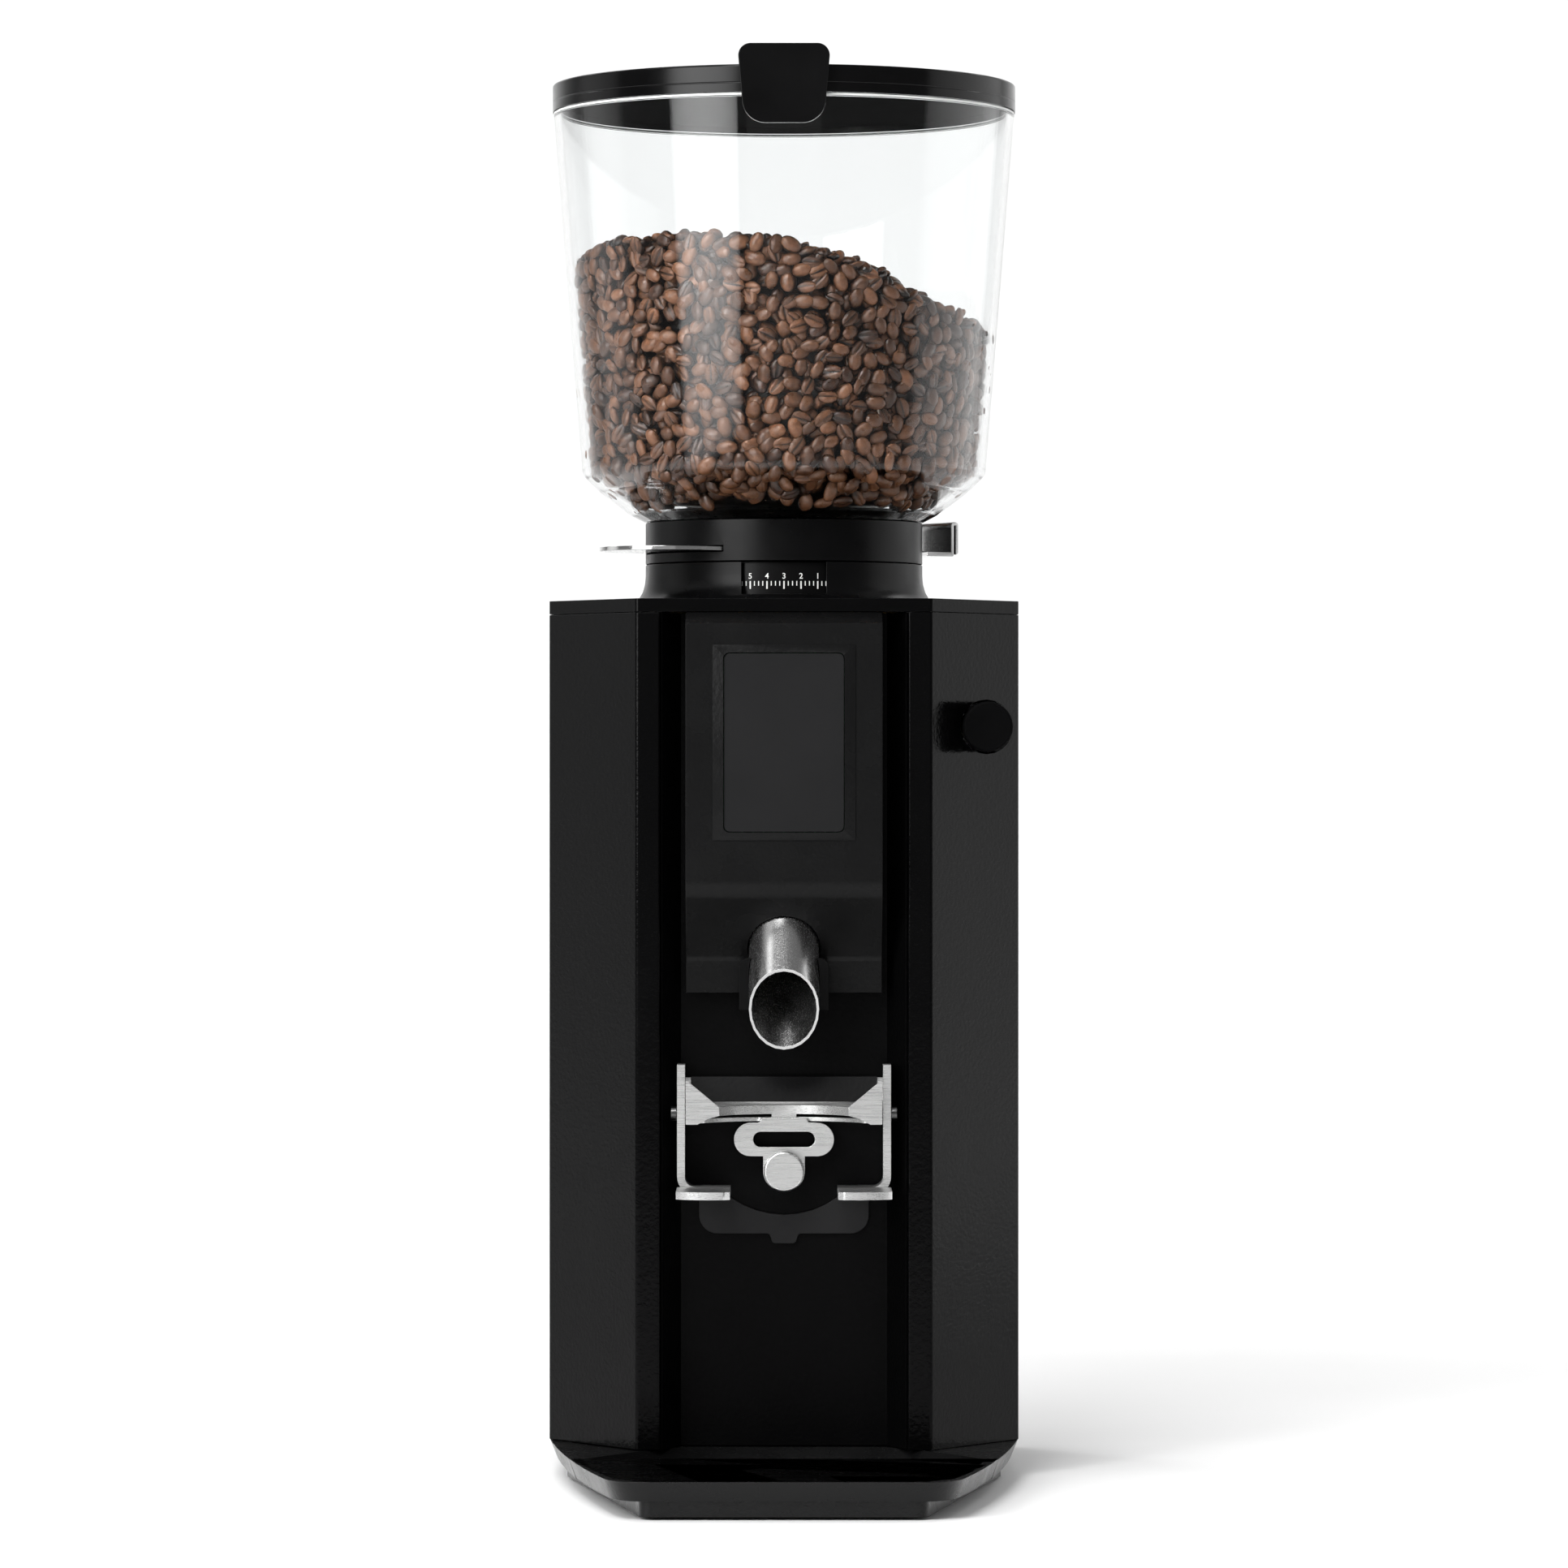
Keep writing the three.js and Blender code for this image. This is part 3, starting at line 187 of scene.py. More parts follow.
def seal_rubber():
    """White silicone, a little translucent."""
    look = Look("seal_rubber", (0.72, 0.73, 0.72), 0.45)
    look.set("Subsurface Weight", 0.15)
    look.set("Subsurface Radius", (0.002, 0.002, 0.002))
    cloud = look.ranged(look.noise(70), 0, 1)
    look.color_from(look.mixed(cloud, (0.66, 0.67, 0.66), (0.78, 0.79, 0.78)))
    look.bump(look.noise(900), 0.00002, 0.3)
    return look.material


def foot_rubber():
    """Black rubber with a coarse matt grain."""
    look = Look("foot_rubber", (0.012, 0.012, 0.012), 0.8)
    dust = look.ranged(look.noise(120), 0, 1)
    look.color_from(look.mixed(dust, (0.009, 0.009, 0.009), (0.02, 0.02, 0.019)))
    look.bump(look.noise(1500, 3), 0.00006, 0.6)
    return look.material


def display_glass():
    """Dark glass over a display that is off: deep grey with a faint bloom of dust."""
    look = Look("display_glass", (0.0135, 0.0135, 0.0139), 0.1)
    bloom = look.ranged(look.noise(22), 0, 1)
    look.color_from(look.mixed(bloom, (0.0125, 0.0125, 0.0129), (0.0145, 0.0145, 0.0149)))
    look.roughness_from(look.ranged(look.noise(70, 5), 0.1, 0.2))
    look.set("Specular IOR Level", 0.06)
    return look.material


def roasted_bean(name, dark, light):
    """Roasted coffee: each bean has its own brown, a mottled skin and an oily shine, with painted shade in
    its crease and on its inner side.
    """
    look = Look(name, dark, 0.4)
    tone = look.node("ShaderNodeAttribute", attribute_name="tone").outputs["Fac"]
    base = look.mixed(tone, dark, light)
    mottle = look.node("ShaderNodeMix", data_type="RGBA", blend_type="MULTIPLY")
    look.link(look.ranged(look.noise(700, 5), 0, 0.6), mottle.inputs["Factor"])
    look.link(base, mottle.inputs["A"])
    mottle.inputs["B"].default_value = (0.45, 0.38, 0.34, 1)
    # Painted shade: the colour turns near black towards the bottom of the crease, where shade falls.
    crease = look.node("ShaderNodeAttribute", attribute_name="crease").outputs["Fac"]
    crease_shadow = look.node("ShaderNodeMix", data_type="RGBA")
    look.link(look.ranged(crease, 0, 0.92, 0.25, 0.8), crease_shadow.inputs["Factor"])
    look.link(mottle.outputs["Result"], crease_shadow.inputs["A"])
    crease_shadow.inputs["B"].default_value = (0.012, 0.005, 0.003, 1)
    # Painted shade: the depth value darkens each bean's inner or under side, and the whole of the deeper wall
    # layer, as if shaded by its neighbours.
    depth = look.node("ShaderNodeAttribute", attribute_name="depth").outputs["Fac"]
    shaded = look.node("ShaderNodeMix", data_type="RGBA")
    look.link(depth, shaded.inputs["Factor"])
    look.link(crease_shadow.outputs["Result"], shaded.inputs["A"])
    shaded.inputs["B"].default_value = (0.01, 0.004, 0.002, 1)
    look.color_from(shaded.outputs["Result"])
    look.roughness_from(look.ranged(look.noise(300, 4), 0.24, 0.42))
    look.bump(look.noise(900, 5), 0.00025, 0.6)
    return look.material


def dial_white():
    """White printing ink, uneven in its cover."""
    look = Look("dial_white", (0.78, 0.78, 0.76), 0.5)
    cover = look.ranged(look.noise(400), 0, 1)
    look.color_from(look.mixed(cover, (0.7, 0.7, 0.68), (0.84, 0.84, 0.82)))
    return look.material


def ground_metal(name, color, roughness, turned=90.0):
    """Machined or cast metal, with fine tool marks round the upright axis."""
    look = Look(name, color, roughness, metallic=1.0)
    marks = look.noise(1, 3, look.stretched((turned, turned, 2400.0)))
    look.roughness_from(look.ranged(marks, roughness - 0.08, roughness + 0.12))
    darker = tuple(c * 0.85 for c in color)
    lighter = tuple(c * 1.08 for c in color)
    look.color_from(look.mixed(look.ranged(look.noise(60, 5), 0, 1), darker, lighter))
    look.bump(marks, 0.00001, 0.5)
    return look.material


def circuit_green():
    """A printed circuit board with a grid of tracks."""
    look = Look("circuit_green", (0.02, 0.13, 0.05), 0.35)
    tracks = look.node("ShaderNodeTexBrick")
    tracks.inputs["Scale"].default_value = 120
    tracks.inputs["Mortar Size"].default_value = 0.04
    look.link(look.place, tracks.inputs["Vector"])
    look.color_from(look.mixed(tracks.outputs["Fac"], (0.015, 0.1, 0.04), (0.05, 0.22, 0.09)))
    return look.material


def copper_winding():
    """Enamelled copper wire, wound upright."""
    look = Look("copper_winding", (0.55, 0.23, 0.1), 0.35, metallic=1.0)
    wires = look.noise(1, 2, look.stretched((700.0, 700.0, 8.0)))
    look.color_from(look.mixed(look.ranged(wires, 0, 1), (0.4, 0.15, 0.06), (0.7, 0.32, 0.15)))
    look.bump(wires, 0.0003, 0.8)
    return look.material


def studio_white():
    """Matt white paper."""
    look = Look("studio_white", (0.86, 0.86, 0.86), 0.65)
    look.color_from(look.mixed(look.ranged(look.noise(3, 3), 0, 1), (0.85, 0.85, 0.85), (0.87, 0.87, 0.87)))
    look.set("Specular IOR Level", 0.2)
    return look.material


# Powder coats and moulded plastics.
COAT = powder_coat("black_coat", (0.0009, 0.0009, 0.001), (0.0013, 0.0013, 0.0014), 0.14, 0.07)
INNER_COAT = powder_coat("recess_coat", (0.001, 0.001, 0.0011), (0.0014, 0.0014, 0.0015), 0.36, 0.05)
PANEL_COAT = powder_coat("panel_coat", (0.0042, 0.0042, 0.0043), (0.005, 0.005, 0.0051), 0.26, 0.11)
BASE_COAT = powder_coat("base_coat", (0.0022, 0.0022, 0.0023), (0.003, 0.003, 0.0031), 0.26, 0.25)
GREY_COAT = powder_coat("grey_coat", (0.009, 0.009, 0.0095), (0.0115, 0.0115, 0.012), 0.5, 0.15)
GUARD_COAT = powder_coat("guard_coat", (0.004, 0.004, 0.0042), (0.0055, 0.0055, 0.0057), 0.42, 0.08)
PLASTIC = moulded_plastic("black_plastic", (0.0009, 0.0009, 0.001), 0.3, shine=0.1)
GLOSS = moulded_plastic("gloss_black", (0.0008, 0.0008, 0.0009), 0.14, 0.00001, 0.16)
MATT = moulded_plastic("matt_black", (0.001, 0.001, 0.0011), 0.55, 0.00003, 0.02)
DULL = moulded_plastic("dull_black", (0.004, 0.004, 0.0042), 0.8, 0.00003, 0.0)
# Brushed steel. The first number is the axis that the lines run along.
STEEL_X = brushed_steel("steel_across", 0, 0.62)
STEEL_Z = brushed_steel("steel_upright", 2, 0.5, 0.2)
DARK_STEEL = brushed_steel("steel_dark", 0, 0.1, 0.25)
BLADE_STEEL = brushed_steel("steel_blade", 1, 0.6, 0.08)
# The hopper, what is in it, and small pieces.
CLEAR = clear_plastic()
SEAL = seal_rubber()
RUBBER = foot_rubber()
DISPLAY = display_glass()
BEAN = roasted_bean("roasted_bean", (0.062, 0.023, 0.01), (0.3, 0.13, 0.062))
# Painted shade: the heap's core is coloured near black, standing for the shade in the gaps between the beans.
BEAN_SHADOW = roasted_bean("painted_bean_shadow", (0.012, 0.005, 0.003), (0.02, 0.009, 0.005))
WHITE = dial_white()
# Mainly for pieces inside the cabinet. RED is the rocker at its back.
TOOL_STEEL = ground_metal("tool_steel", (0.5, 0.5, 0.51), 0.3)
CAST = ground_metal("cast_aluminium", (0.58, 0.58, 0.59), 0.48)
BRASS = ground_metal("brass", (0.72, 0.5, 0.2), 0.3)
BOARD = circuit_green()
COPPER = copper_winding()
RED = moulded_plastic("rocker_red", (0.35, 0.012, 0.01), 0.25)

# The look and the edge rounding, in millimetres, of each CAD node that is shown as it is.
FINISHES = {
    "base_plate": (BASE_COAT, 0.5),
    "grounds_tray": (BASE_COAT, 0.5),
    **{f"foot_pad_{corner}": (RUBBER, 0.3) for corner in ("fl", "fr", "rl", "rr")},
    "side_panel_left": (COAT, 0.35),
    "side_panel_right": (COAT, 0.35),
    "rear_cover": (COAT, 0.35),
    "recess_liner": (INNER_COAT, 0.3),
    "front_panel": (PANEL_COAT, 0.6),
    "display_frame": (PANEL_COAT, 0.25),
    "display_glass": (DISPLAY, 0.15),
    "display_board": (BOARD, 0.1),
    "top_cap": (COAT, 0.4),
    "cap_collar": (PLASTIC, 0.3),
    "spout_tube": (STEEL_Z, 0.15),
    "spout_saddle": (PLASTIC, 0.5),
    "discharge_duct": (PLASTIC, 0.2),
    "fork_bracket": (STEEL_X, 0.25),
    "backing_plate": (GREY_COAT, 0.2),
    "splash_guard": (GUARD_COAT, 0.3),
    "portafilter_clip": (STEEL_X, 0.15),
    "clip_tongue": (STEEL_X, 0.15),
    "clip_pin_left": (DARK_STEEL, 0.3),
    "clip_pin_right": (DARK_STEEL, 0.3),
    "thumb_screw": (STEEL_X, 0.3),
    "hopper_collar": (PLASTIC, 0.35),
    "hopper_floor": (PLASTIC, 0.3),
    "shutter_blade": (BLADE_STEEL, 0.2),
    "lid_badge": (GLOSS, 0.5),
    "lid_seal": (SEAL, 0.2),
    "dial_ring": (PLASTIC, 0.2),
    "adjustment_gear": (BRASS, 0.15),
    "worm_shaft": (TOOL_STEEL, 0.1),
    "adjustment_knob": (MATT, 0.3),
    "worm_block_front": (CAST, 0.3),
    "worm_block_rear": (CAST, 0.3),
    "burr_chamber": (CAST, 0.3),
    "upper_burr_carrier": (CAST, 0.3),
    "upper_burr": (TOOL_STEEL, 0.15),
    "lower_burr": (TOOL_STEEL, 0.15),
    "burr_rotor": (CAST, 0.2),
    "motor_stand": (COAT, 0.3),
    "motor_bell_bottom": (CAST, 0.4),
    "motor_bell_top": (CAST, 0.4),
    "motor_stator": (COPPER, 0.3),
    "motor_rotor": (TOOL_STEEL, 0.3),
    "motor_shaft": (TOOL_STEEL, 0.2),
    "bearing_lower": (TOOL_STEEL, 0.2),
    "bearing_upper": (TOOL_STEEL, 0.2),
    "power_inlet": (PLASTIC, 0.3),
    "power_switch_frame": (PLASTIC, 0.2),
    "power_rocker": (RED, 0.3),
    "control_board": (BOARD, 0.1),
    "run_capacitor": (CAST, 0.6),
}


# Faces closer than the first angle are one flat face, and edges sharper than the second are rounded.
FLAT_ANGLE = math.radians(0.4)
EDGE_ANGLE = math.radians(32)


def dress(node, look, rounding):
    """Gives a CAD node its look and small rounded edges."""
    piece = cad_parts[node]
    piece.data.materials.clear()
    piece.data.materials.append(look)
    piece.data.polygons.foreach_set("use_smooth", [True] * len(piece.data.polygons))
    weld = piece.modifiers.new("weld", "WELD")
    weld.merge_threshold = 0.005 * MM
    merge = piece.modifiers.new("flatten", "DECIMATE")
    merge.decimate_type = "DISSOLVE"
    merge.angle_limit = FLAT_ANGLE
    bevel = piece.modifiers.new("edges", "BEVEL")
    bevel.width = rounding * MM
    bevel.segments = 2
    bevel.limit_method = "ANGLE"
    bevel.angle_limit = EDGE_ANGLE
    flat_faces(piece)


def flat_faces(piece):
    """Lets the large faces set the shading, so that only the small rounded edges look curved."""
    shading = piece.modifiers.new("flat faces", "WEIGHTED_NORMAL")
    shading.weight = 90


# ---- mesh helpers ----


def mesh_object(name, vertices, faces, look, smooth=True):
    mesh = bpy.data.meshes.new(name)
    mesh.from_pydata([tuple(v) for v in vertices], [], faces)
    mesh.materials.append(look)
    mesh.polygons.foreach_set("use_smooth", [smooth] * len(mesh.polygons))
    made = bpy.data.objects.new(name, mesh)
    scene.collection.objects.link(made)
    return made


def rounded_profile(points, steps=5):
    """A closed profile of (radius, height, corner radius) in millimetres, with each corner rounded."""
    out = []
    count = len(points)
    for i, (r, z, corner) in enumerate(points):
        here = Vector((r, z))
        before = (Vector(points[i - 1][:2]) - here).normalized()
        after = (Vector(points[(i + 1) % count][:2]) - here).normalized()
        if corner <= 0:
            out.append(here)
            continue
        reach = corner / math.tan(before.angle(after) / 2)
        start, end = here + before * reach, here + after * reach
        for k in range(steps + 1):
            t = k / steps
            out.append(start.lerp(here, t).lerp(here.lerp(end, t), t))
    return out


def lathe(name, profile, look, around=192):
    """A closed profile in millimetres turned about the hopper's axis."""
    vertices, faces = [], []
    count = len(profile)
    for i in range(around):
        turn = 2 * math.pi * i / around
        for r, z in profile:
            vertices.append((r * MM * math.cos(turn), AXIS_Y + r * MM * math.sin(turn), z * MM))
    for i in range(around):
        for j in range(count):
            a, b = i * count + j, i * count + (j + 1) % count
            c, d = ((i + 1) % around) * count + (j + 1) % count, ((i + 1) % around) * count + j
            faces.append((a, d, c, b))
    made = mesh_object(name, vertices, faces, look)
    tidy = bmesh.new()
    tidy.from_mesh(made.data)
    bmesh.ops.remove_doubles(tidy, verts=tidy.verts, dist=1e-7)
    bmesh.ops.recalc_face_normals(tidy, faces=tidy.faces)
    tidy.to_mesh(made.data)
    tidy.free()
    flat_faces(made)
    return made


# ---- hopper, lid and beans ----

FOOT = HOPPER_FOOT_Z / MM
RIM = RIM_Z / MM
RIM_R = HOPPER_R / MM - 0.02
# The wall steps in under the lid's band.
STEP_R, STEP_Z = 95.0, 564.7
BAND_R = STEP_R + 0.3
# The wall's two sides as (radius, height, corner radius) in millimetres, up the outside and down the inside.
OUTSIDE = [
    (58.1, FOOT, 0.6),
    (64.1, 397.9, 6),
    (76.8, 407.4, 12),
    (84.3, 414.8, 5),
    (RIM_R, STEP_Z, 0.3),
    (STEP_R, STEP_Z, 0.2),
    (STEP_R, RIM, 0.4),
]
INSIDE = [
    (93.8, RIM, 0.4),
    (81.3, 415.8, 5),
    (75.0, 409.8, 10),
    (62.0, 400.4, 5),
    (55.4, FOOT, 0.6),
]


def build_hopper():
    """The clear hopper as one turned wall."""
    made = lathe("hopper_clear", rounded_profile(OUTSIDE + INSIDE), CLEAR)
    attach(made, "hopper_unit")
    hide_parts("hopper")


def build_lid():
    """The lid's top and grooved band in gloss black, with the dull plug that drops inside the hopper."""
    low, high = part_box("lid")
    outer = (high.x - low.x) / 2 / MM - 0.02
    top, foot = high.z / MM, low.z / MM + 0.01
    rim_gap = RIM + 0.3
    plug_r, plug_z = 92.4, 568.6
    groove_z, groove = 570.1, 0.35
    lip_r, lip = 91.5, 0.9
    profile = rounded_profile(
        [
            (BAND_R, foot, 0.1),
            (outer, foot, 0.2),
            (outer, groove_z - groove, 0.06),
            (outer - groove, groove_z, 0),
            (outer, groove_z + groove, 0.06),
            (outer, top, 1.2),
            (lip_r, top - 0.05, 0.5),
            (lip_r - 1, top - lip, 0.5),
            (0.0, top - lip, 0),
            (0.0, plug_z, 0),
            (plug_r, plug_z, 0.4),
            (plug_r, rim_gap, 0.3),
            (BAND_R, rim_gap, 0.3),
        ]
    )
    made = lathe("lid_shell", profile, GLOSS)
    made.data.materials.append(DULL)
    for face in made.data.polygons:
        in_plug = math.hypot(face.center.x, face.center.y - AXIS_Y) < (plug_r + 0.1) * MM
        if in_plug and face.center.z < (rim_gap + 0.5) * MM:
            face.material_index = 1
    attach(made, "lid_unit")
    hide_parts("lid")


# How high the beans reach, as (x, z) in millimetres from left to right.
HEAP_LINE = [
    (-88, 504),
    (-80, 508),
    (-68, 511.5),
    (-20, 511.5),
    (4, 507.5),
    (20, 504),
    (36, 498.8),
    (49, 491),
    (60, 485),
    (74, 480),
    (86, 474),
]
HEAP_TOP = max(z for _, z in HEAP_LINE)

# Half sizes of one bean, and how its flat side and crease are formed.
BEAN_LONG, BEAN_WIDE, BEAN_THICK = 4.3, 3.05, 2.2
BEAN_ALONG = 8
BACK_POINTS = 8
BLUNTNESS = 0.9
FLAT_SIDE = 0.62
CREASE_DEPTH = 1.15
CREASE_HALF = math.radians(14)
CREASE_SHOULDER = 2.2 * CREASE_HALF

# Layers against the wall: distance in from it, row height, pitch in the row, and how shaded the layer is.
WALL_LAYERS = [(2.6, 5.9, 7.0, 0.0), (6.2, 5.9, 7.0, 0.3)]
# How far below the heap's line the wall layers, the top layer and the core end.
WALL_SINK, TOP_SINK, CORE_SINK = 3, 3.5, 8.5
TOP_R = 83.0
TOP_STEP = 6.9


def heap_height(x):
    xs, zs = zip(*HEAP_LINE)
    return float(np.interp(x, xs, zs))


def bean_turns():
    """Angles round a bean's long axis, from the crease: close beside it, and even round the back."""
    under = -math.pi / 2
    back = 2 * math.pi - 2 * CREASE_SHOULDER
    turns = [under, under + CREASE_HALF, under + CREASE_SHOULDER]
    turns += [under + CREASE_SHOULDER + back * (k + 1) / (BACK_POINTS + 1) for k in range(BACK_POINTS)]
    turns += [under - CREASE_SHOULDER, under - CREASE_HALF]
    return turns


def bean_shape():
    """One bean at the origin: points in millimetres, faces, and how deep in the crease each point is."""
    turns = bean_turns()
    points, crease = [], []
    for i in range(BEAN_ALONG + 1):
        lean = math.pi * i / BEAN_ALONG
        girth = math.sin(lean) ** BLUNTNESS
        for j, turn in enumerate(turns):
            x = BEAN_LONG * math.cos(lean)
            y = BEAN_WIDE * girth * math.cos(turn)
            z = BEAN_THICK * girth * math.sin(turn)
            if z < 0:
                z *= FLAT_SIDE
            depth = math.sin(lean) ** 0.7 if j == 0 else 0.0
            points.append((x, y, z + CREASE_DEPTH * depth))
            crease.append(depth)
    faces = []
    n = len(turns)
    for i in range(BEAN_ALONG):
        for j in range(n):
            k = (j + 1) % n
            faces.append((i * n + j, i * n + k, (i + 1) * n + k, (i + 1) * n + j))
    return np.array(points), np.array(faces), np.array(crease)


def wall_stops(step):
    """Stops at equal steps up the hopper's inner wall: radius, height and the slope's angle from upright."""
    inside = [tuple(p) for p in rounded_profile(INSIDE)]
    wall = sorted((p for p in inside if FOOT + 3 < p[1] < RIM - 2), key=lambda p: p[1])
    radii, heights = np.array([p[0] for p in wall]), np.array([p[1] for p in wall])
    along = np.concatenate(([0.0], np.cumsum(np.hypot(np.diff(radii), np.diff(heights)))))
    for s in np.arange(step / 2, along[-1], step):
        r, z = np.interp(s, along, radii), np.interp(s, along, heights)
        next_r, next_z = np.interp(s + 1, along, radii), np.interp(s + 1, along, heights)
        yield float(r), float(z), math.atan2(next_r - r, next_z - z)


def wall_places(inset, row, pitch, shade):
    """One layer of beans that follows the hopper's inner wall."""
    places = []
    for wall_r, wall_z, lean in wall_stops(row):
        if wall_z > HEAP_TOP:
            break
        r = wall_r - inset * math.cos(lean)
        level = wall_z + inset * math.sin(lean)
        count = max(int(2 * math.pi * r / pitch), 6)
        shift = random.random()
        for i in range(count):
            turn = 2 * math.pi * (i + shift + random.uniform(-0.24, 0.24)) / count
            height = level + random.uniform(-2.4, 2.4)
            if height > heap_height(r * math.sin(turn)) - WALL_SINK + random.uniform(-1.5, 1.0):
                continue
            depth = r - random.uniform(-0.3, 1.3)
            at = Vector((depth * math.sin(turn), -depth * math.cos(turn), height))
            out = Vector((math.sin(turn), -math.cos(turn), -math.sin(lean))).normalized()
            places.append((at, out, 0.5, shade))
    return places


def top_places():
    """The beans that lie loose on the heap, in rings about the hopper's axis."""
    places = []
    for i in range(int(TOP_R / TOP_STEP) + 1):
        r = i * TOP_STEP
        count = max(int(2 * math.pi * r / TOP_STEP), 1)
        for j in range(count):
            turn = 2 * math.pi * (j + random.uniform(-0.25, 0.25)) / count
            x, y = r * math.sin(turn), -r * math.cos(turn)
            dome = 1.5 * (1 - (r / TOP_R) ** 2)
            z = heap_height(x) - TOP_SINK + dome + random.uniform(-1.3, 1.3)
            places.append((Vector((x, y, z)), Vector((0, 0, 1)), 0.7, 0.0))
    return places


def bean_places():
    """For each bean: its middle, its outward side, how far it may tip, and how shaded it is."""
    places = []
    for layer in WALL_LAYERS:
        places += wall_places(*layer)
    return places + top_places()


def random_direction():
    return Vector([random.gauss(0, 1) for _ in range(3)])


def quad_mesh(name, vertices, quads, values, look):
    """A smooth mesh from arrays of points and four-cornered faces, with named values for each point."""
    mesh = bpy.data.meshes.new(name)
    mesh.vertices.add(len(vertices))
    mesh.vertices.foreach_set("co", vertices.ravel())
    mesh.loops.add(quads.size)
    mesh.loops.foreach_set("vertex_index", quads.ravel())
    mesh.polygons.add(len(quads))
    mesh.polygons.foreach_set("loop_start", np.arange(len(quads)) * 4)
    mesh.update(calc_edges=True)
    mesh.polygons.foreach_set("use_smooth", [True] * len(quads))
    for value, per_point in values.items():
        attribute = mesh.attributes.new(value, "FLOAT", "POINT")
        attribute.data.foreach_set("value", np.concatenate(per_point))
    mesh.materials.append(look)
    mesh.validate()
    made = bpy.data.objects.new(name, mesh)
    scene.collection.objects.link(made)
    return made


def build_beans():
    """Every bean in one mesh."""
    points, faces, crease = bean_shape()
    all_points, all_faces = [], []
    values = {"tone": [], "crease": [], "depth": []}
    for at, out, wobble, shade in bean_places():
        away = random_direction().normalized()
        normal = (out * random.choice((1, 1, -1)) + away * wobble).normalized()
        along = normal.cross(random_direction()).normalized()
        turn = np.array((along, normal.cross(along), normal))
        size = random.uniform(0.9, 1.08)
        moved = (points * size) @ turn + np.array(at)
        all_faces.append(faces + len(all_points) * len(points))
        all_points.append(moved)
        tone = min(max(random.gauss(0.42, 0.27), 0), 1)
        values["tone"].append(np.full(len(points), tone))
        values["crease"].append(crease * random.choice((0.4, 0.7, 1.0)))
        # Painted shade: points on a bean's side away from the wall, or its underside on the heap, get a
        # darker colour, and the second layer gets more.
        outward = (moved - np.array(at)) @ np.array(out)
        values["depth"].append(np.clip(0.6 + shade - outward / BEAN_THICK, 0, 1))
    vertices = np.concatenate(all_points) * MM + np.array((0, AXIS_Y, 0))
    beans = quad_mesh("beans", vertices, np.concatenate(all_faces), values, BEAN)
    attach(beans, "hopper_unit")
    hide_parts("bean_fill")


def build_bean_core():
    """A core painted near black, as painted shade in the gaps between the beans, fills the middle of the
    heap.
    """
    top, wide = 520.0, 75.0
    under = [(0.0, 401.0), (44.0, 402.0), (60.0, 411.0), (71.0, 422.0), (wide, 440.0)]
    over = [(r, top) for r in (wide, 60.0, 40.0, 20.0, 0.0)]
    core = lathe("bean_core", under + over, BEAN_SHADOW, 48)
    for v in core.data.vertices:
        if v.co.z > (top - 1) * MM:
            v.co.z = (heap_height(v.co.x / MM) - CORE_SINK) * MM
    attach(core, "hopper_unit")
    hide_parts("bean_fill")


# ---- dial ----

DIAL_LOW, DIAL_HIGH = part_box("dial_ring")
DIAL_R = (DIAL_HIGH.x - DIAL_LOW.x) / 2 / MM
# Numbers stand over long lines, with three short lines between two numbers.
NUMBER_SPACING = 7.0
NUMBER_HEIGHT = 2.3
NUMBER_BASE = 370.0
LINE_TOP = NUMBER_BASE - 1.0
LONG_LINE, LONG_WIDTH = 3.2, 0.55
SHORT_LINE, SHORT_WIDTH = 1.9, 0.38
INK = 0.12


def wrapped(points, radius):
    """Flat points (across, up, out) in millimetres laid on the dial's front."""
    out = []
    for across, up, lift in points:
        turn = across / radius
        r = (radius + lift) * MM
        out.append((r * math.sin(turn), AXIS_Y - r * math.cos(turn), up * MM))
    return out


def dial_mark(across, low, high, width):
    """One printed line, as a thin closed strip."""
    half = width / 2
    corners = [(-half, low), (half, low), (half, high), (-half, high)]
    flat = [(across + x, z, lift) for lift in (0.02, INK) for x, z in corners]
    faces = [(4, 5, 6, 7), (3, 2, 1, 0), (0, 1, 5, 4), (1, 2, 6, 5), (2, 3, 7, 6), (3, 0, 4, 7)]
    return wrapped(flat, DIAL_R), faces


def dial_number(text, across, base):
    """A printed number, from a filled text curve."""
    extrude = 0.05
    curve = bpy.data.curves.new("number", "FONT")
    curve.body = text
    curve.size = NUMBER_HEIGHT / 0.7
    curve.align_x = "CENTER"
    curve.offset = 0.03
    curve.extrude = extrude
    holder = bpy.data.objects.new("number", curve)
    scene.collection.objects.link(holder)
    depsgraph = bpy.context.evaluated_depsgraph_get()
    mesh = bpy.data.meshes.new_from_object(holder.evaluated_get(depsgraph))
    middle = extrude + 0.02
    flat = [(across + v.co.x, base + v.co.y, middle + v.co.z) for v in mesh.vertices]
    faces = [tuple(p.vertices) for p in mesh.polygons]
    bpy.data.objects.remove(holder)
    return wrapped(flat, DIAL_R), faces


def build_dial_marks():
    """Numbers 5 to 1 from left to right, and the lines of one more step at each end."""
    vertices, faces = [], []
    parts = []
    for i in range(-12, 13):
        across = i * NUMBER_SPACING / 4
        if i % 4:
            parts.append(dial_mark(across, LINE_TOP - SHORT_LINE, LINE_TOP, SHORT_WIDTH))
            continue
        parts.append(dial_mark(across, LINE_TOP - LONG_LINE, LINE_TOP, LONG_WIDTH))
        if abs(i) <= 8:
            parts.append(dial_number(str(3 - i // 4), across, NUMBER_BASE))
    for points, corners in parts:
        faces += [tuple(c + len(vertices) for c in corner) for corner in corners]
        vertices += points
    made = mesh_object("dial_marks", vertices, faces, WHITE, smooth=False)
    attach(made, "adjuster")


# ---- fasteners ----


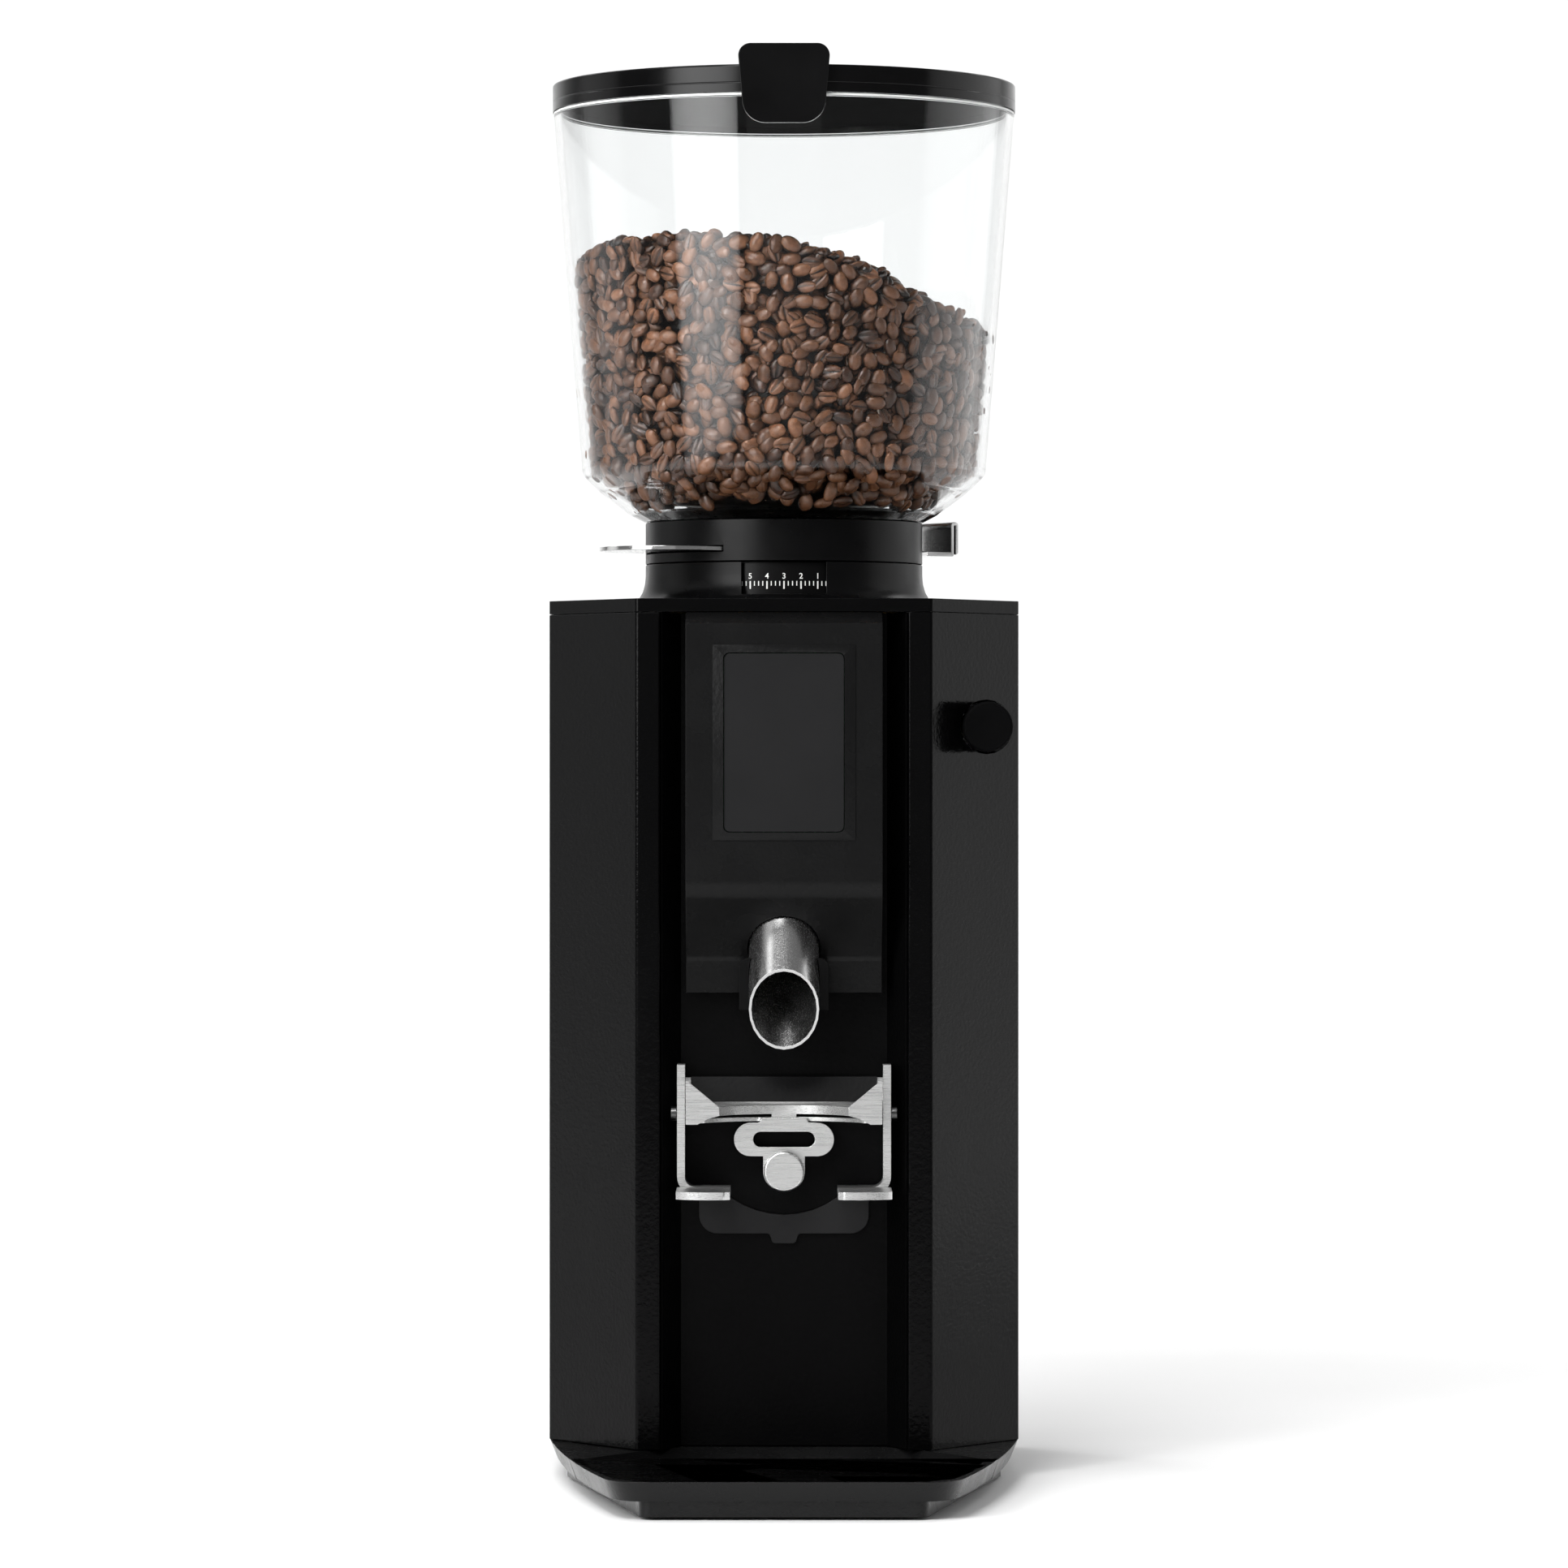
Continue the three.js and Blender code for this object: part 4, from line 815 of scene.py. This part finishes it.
def screw(name, at, out, radius, height):
    """A round-headed screw's head, in millimetres, that stands on a face at the given point."""
    around, rings = 24, 6
    vertices = []
    for k in range(rings):
        rise = k / rings * math.pi / 2
        r, z = radius * MM * math.cos(rise), height * MM * math.sin(rise) ** 0.8
        for i in range(around):
            turn = 2 * math.pi * i / around
            vertices.append((r * math.cos(turn), r * math.sin(turn), z))
    top = len(vertices)
    vertices.append((0, 0, height * MM))
    faces = [tuple(reversed(range(around)))]
    for start in range(0, top - around, around):
        for i in range(around):
            a, b = start + i, start + (i + 1) % around
            faces.append((a, b, b + around, a + around))
    last = top - around
    faces += [(last + i, last + (i + 1) % around, top) for i in range(around)]
    made = mesh_object(name, vertices, faces, TOOL_STEEL)
    made.matrix_world = Matrix.Translation(at) @ out.to_track_quat("Z", "Y").to_matrix().to_4x4()
    return made


def build_cabinet_screws():
    """Six screws hold the rear cover's flanges, on the cabinet's two sides."""
    levels = (40 * MM, 185 * MM, 330 * MM)
    from_edge = 9 * MM
    sunk = 1.45 * MM
    low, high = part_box("rear_cover")
    for side in (-1, 1):
        for k, z in enumerate(levels):
            at = Vector((side * (high.x - sunk), low.y + from_edge, z))
            made = screw(f"cover_screw_{'lr'[side > 0]}{k}", at, Vector((side, 0, 0)), 2.8, 1.4)
            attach(made, "cabinet")


# ---- studio ----


def build_studio():
    """A pale floor that curves up into a backdrop, far enough behind to walk round the object."""
    half, front, back, bend = 7.0, -4.0, 4.3, 1.2
    top, steps = 5.5, 12
    profile = [(front, 0.0), (back - bend, 0.0)]
    for i in range(1, steps + 1):
        turn = i / steps * math.pi / 2
        profile.append((back - bend + bend * math.sin(turn), bend * (1 - math.cos(turn))))
    profile.append((back, top))
    vertices = [(x, y, z) for y, z in profile for x in (-half, half)]
    faces = [(2 * i, 2 * i + 1, 2 * i + 3, 2 * i + 2) for i in range(len(profile) - 1)]
    floor = mesh_object("studio_floor", vertices, faces, studio_white())


def area_light(name, at, towards, width, height, power, soft=0.0):
    """A softbox in metres and watts. With soft above 0 it fades towards its edges."""
    data = bpy.data.lights.new(name, "AREA")
    data.shape = "RECTANGLE"
    data.size, data.size_y = width, height
    data.energy = power
    if soft:
        fade_edges(data, soft)
    lamp = bpy.data.objects.new(name, data)
    lamp.location = at
    lamp.rotation_euler = (Vector(towards) - Vector(at)).to_track_quat("-Z", "Y").to_euler()
    scene.collection.objects.link(lamp)


def fade_edges(light, soft):
    """Multiplies the glow by (4u(1-u) * 4v(1-v)) ** soft across the light."""
    light.use_nodes = True
    tree = light.node_tree
    spread = tree.nodes.new("ShaderNodeNewGeometry").outputs["Parametric"]
    parts = tree.nodes.new("ShaderNodeSeparateXYZ")
    tree.links.new(spread, parts.inputs[0])

    def math_node(operation, first, second):
        made = tree.nodes.new("ShaderNodeMath")
        made.operation = operation
        for socket, value in zip(made.inputs, (first, second)):
            if isinstance(value, (int, float)):
                socket.default_value = value
            else:
                tree.links.new(value, socket)
        return made.outputs[0]

    humps = []
    for axis in ("X", "Y"):
        u = parts.outputs[axis]
        humps.append(math_node("MULTIPLY", math_node("MULTIPLY", u, 4.0), math_node("SUBTRACT", 1.0, u)))
    both = math_node("MAXIMUM", math_node("MULTIPLY", *humps), 0.0)
    tree.links.new(math_node("POWER", both, soft), tree.nodes["Emission"].inputs["Strength"])


def build_lights():
    """Soft light from above and in front, and a card for each reflection that the object shows."""
    middle = (0, 0.05, 0.3)
    area_light("key", (-0.5, -1.5, 1.95), middle, 0.9, 0.8, 34)
    area_light("overhead", (-0.3, 0.1, 2.2), middle, 1.0, 1.2, 12)
    area_light("front_card", (0, -4.6, 0.9), middle, 3.2, 2.0, 4)
    area_light("left_haze", (-1.0, -1.13, 0.8), (0, 0.05, 0.6), 1.0, 1.1, 34, 0.35)
    area_light("left_side", (-1.5, 0.42, 0.35), (-0.08, 0, 0.25), 0.9, 1.9, 4.5, 0.5)
    area_light("right_side", (1.5, 0.5, 0.35), (0.08, 0.3, 0.3), 1.8, 1.9, 17, 0.3)
    area_light("spout_left", (-0.95, -0.2, 1.5), (0, -0.04, 0.2), 0.35, 0.9, 2.4, 0.6)
    area_light("spout_right", (1.05, 0.15, 1.1), (0, -0.04, 0.2), 0.3, 0.8, 0.7, 0.6)
    for side in (-1, 1):
        area_light(f"backdrop_{'lr'[side > 0]}", (side * 2.2, 2.4, 3.0), (side * 0.7, 4.3, 0.7), 2.0, 0.8, 60)
    world = bpy.data.worlds.new("studio")
    world.use_nodes = True
    world.node_tree.nodes["Background"].inputs["Color"].default_value = (1, 1, 1, 1)
    world.node_tree.nodes["Background"].inputs["Strength"].default_value = 0.22
    scene.world = world
    scene.view_settings.view_transform = "Standard"


def build_camera():
    """Level with the object's middle, straight in front, at the photograph's viewing angle."""
    distance, height = 2.935, 0.2856
    data = bpy.data.cameras.new("camera")
    data.sensor_width = 36.0
    data.lens = 164.57
    camera = bpy.data.objects.new("camera", data)
    camera.location = (0, -distance, height)
    camera.rotation_euler = (math.pi / 2, 0, 0)
    scene.collection.objects.link(camera)
    scene.camera = camera


for node, (look, rounding) in FINISHES.items():
    dress(node, look, rounding)
build_hopper()
build_lid()
build_beans()
build_bean_core()
build_dial_marks()
build_cabinet_screws()
build_studio()
build_lights()
build_camera()
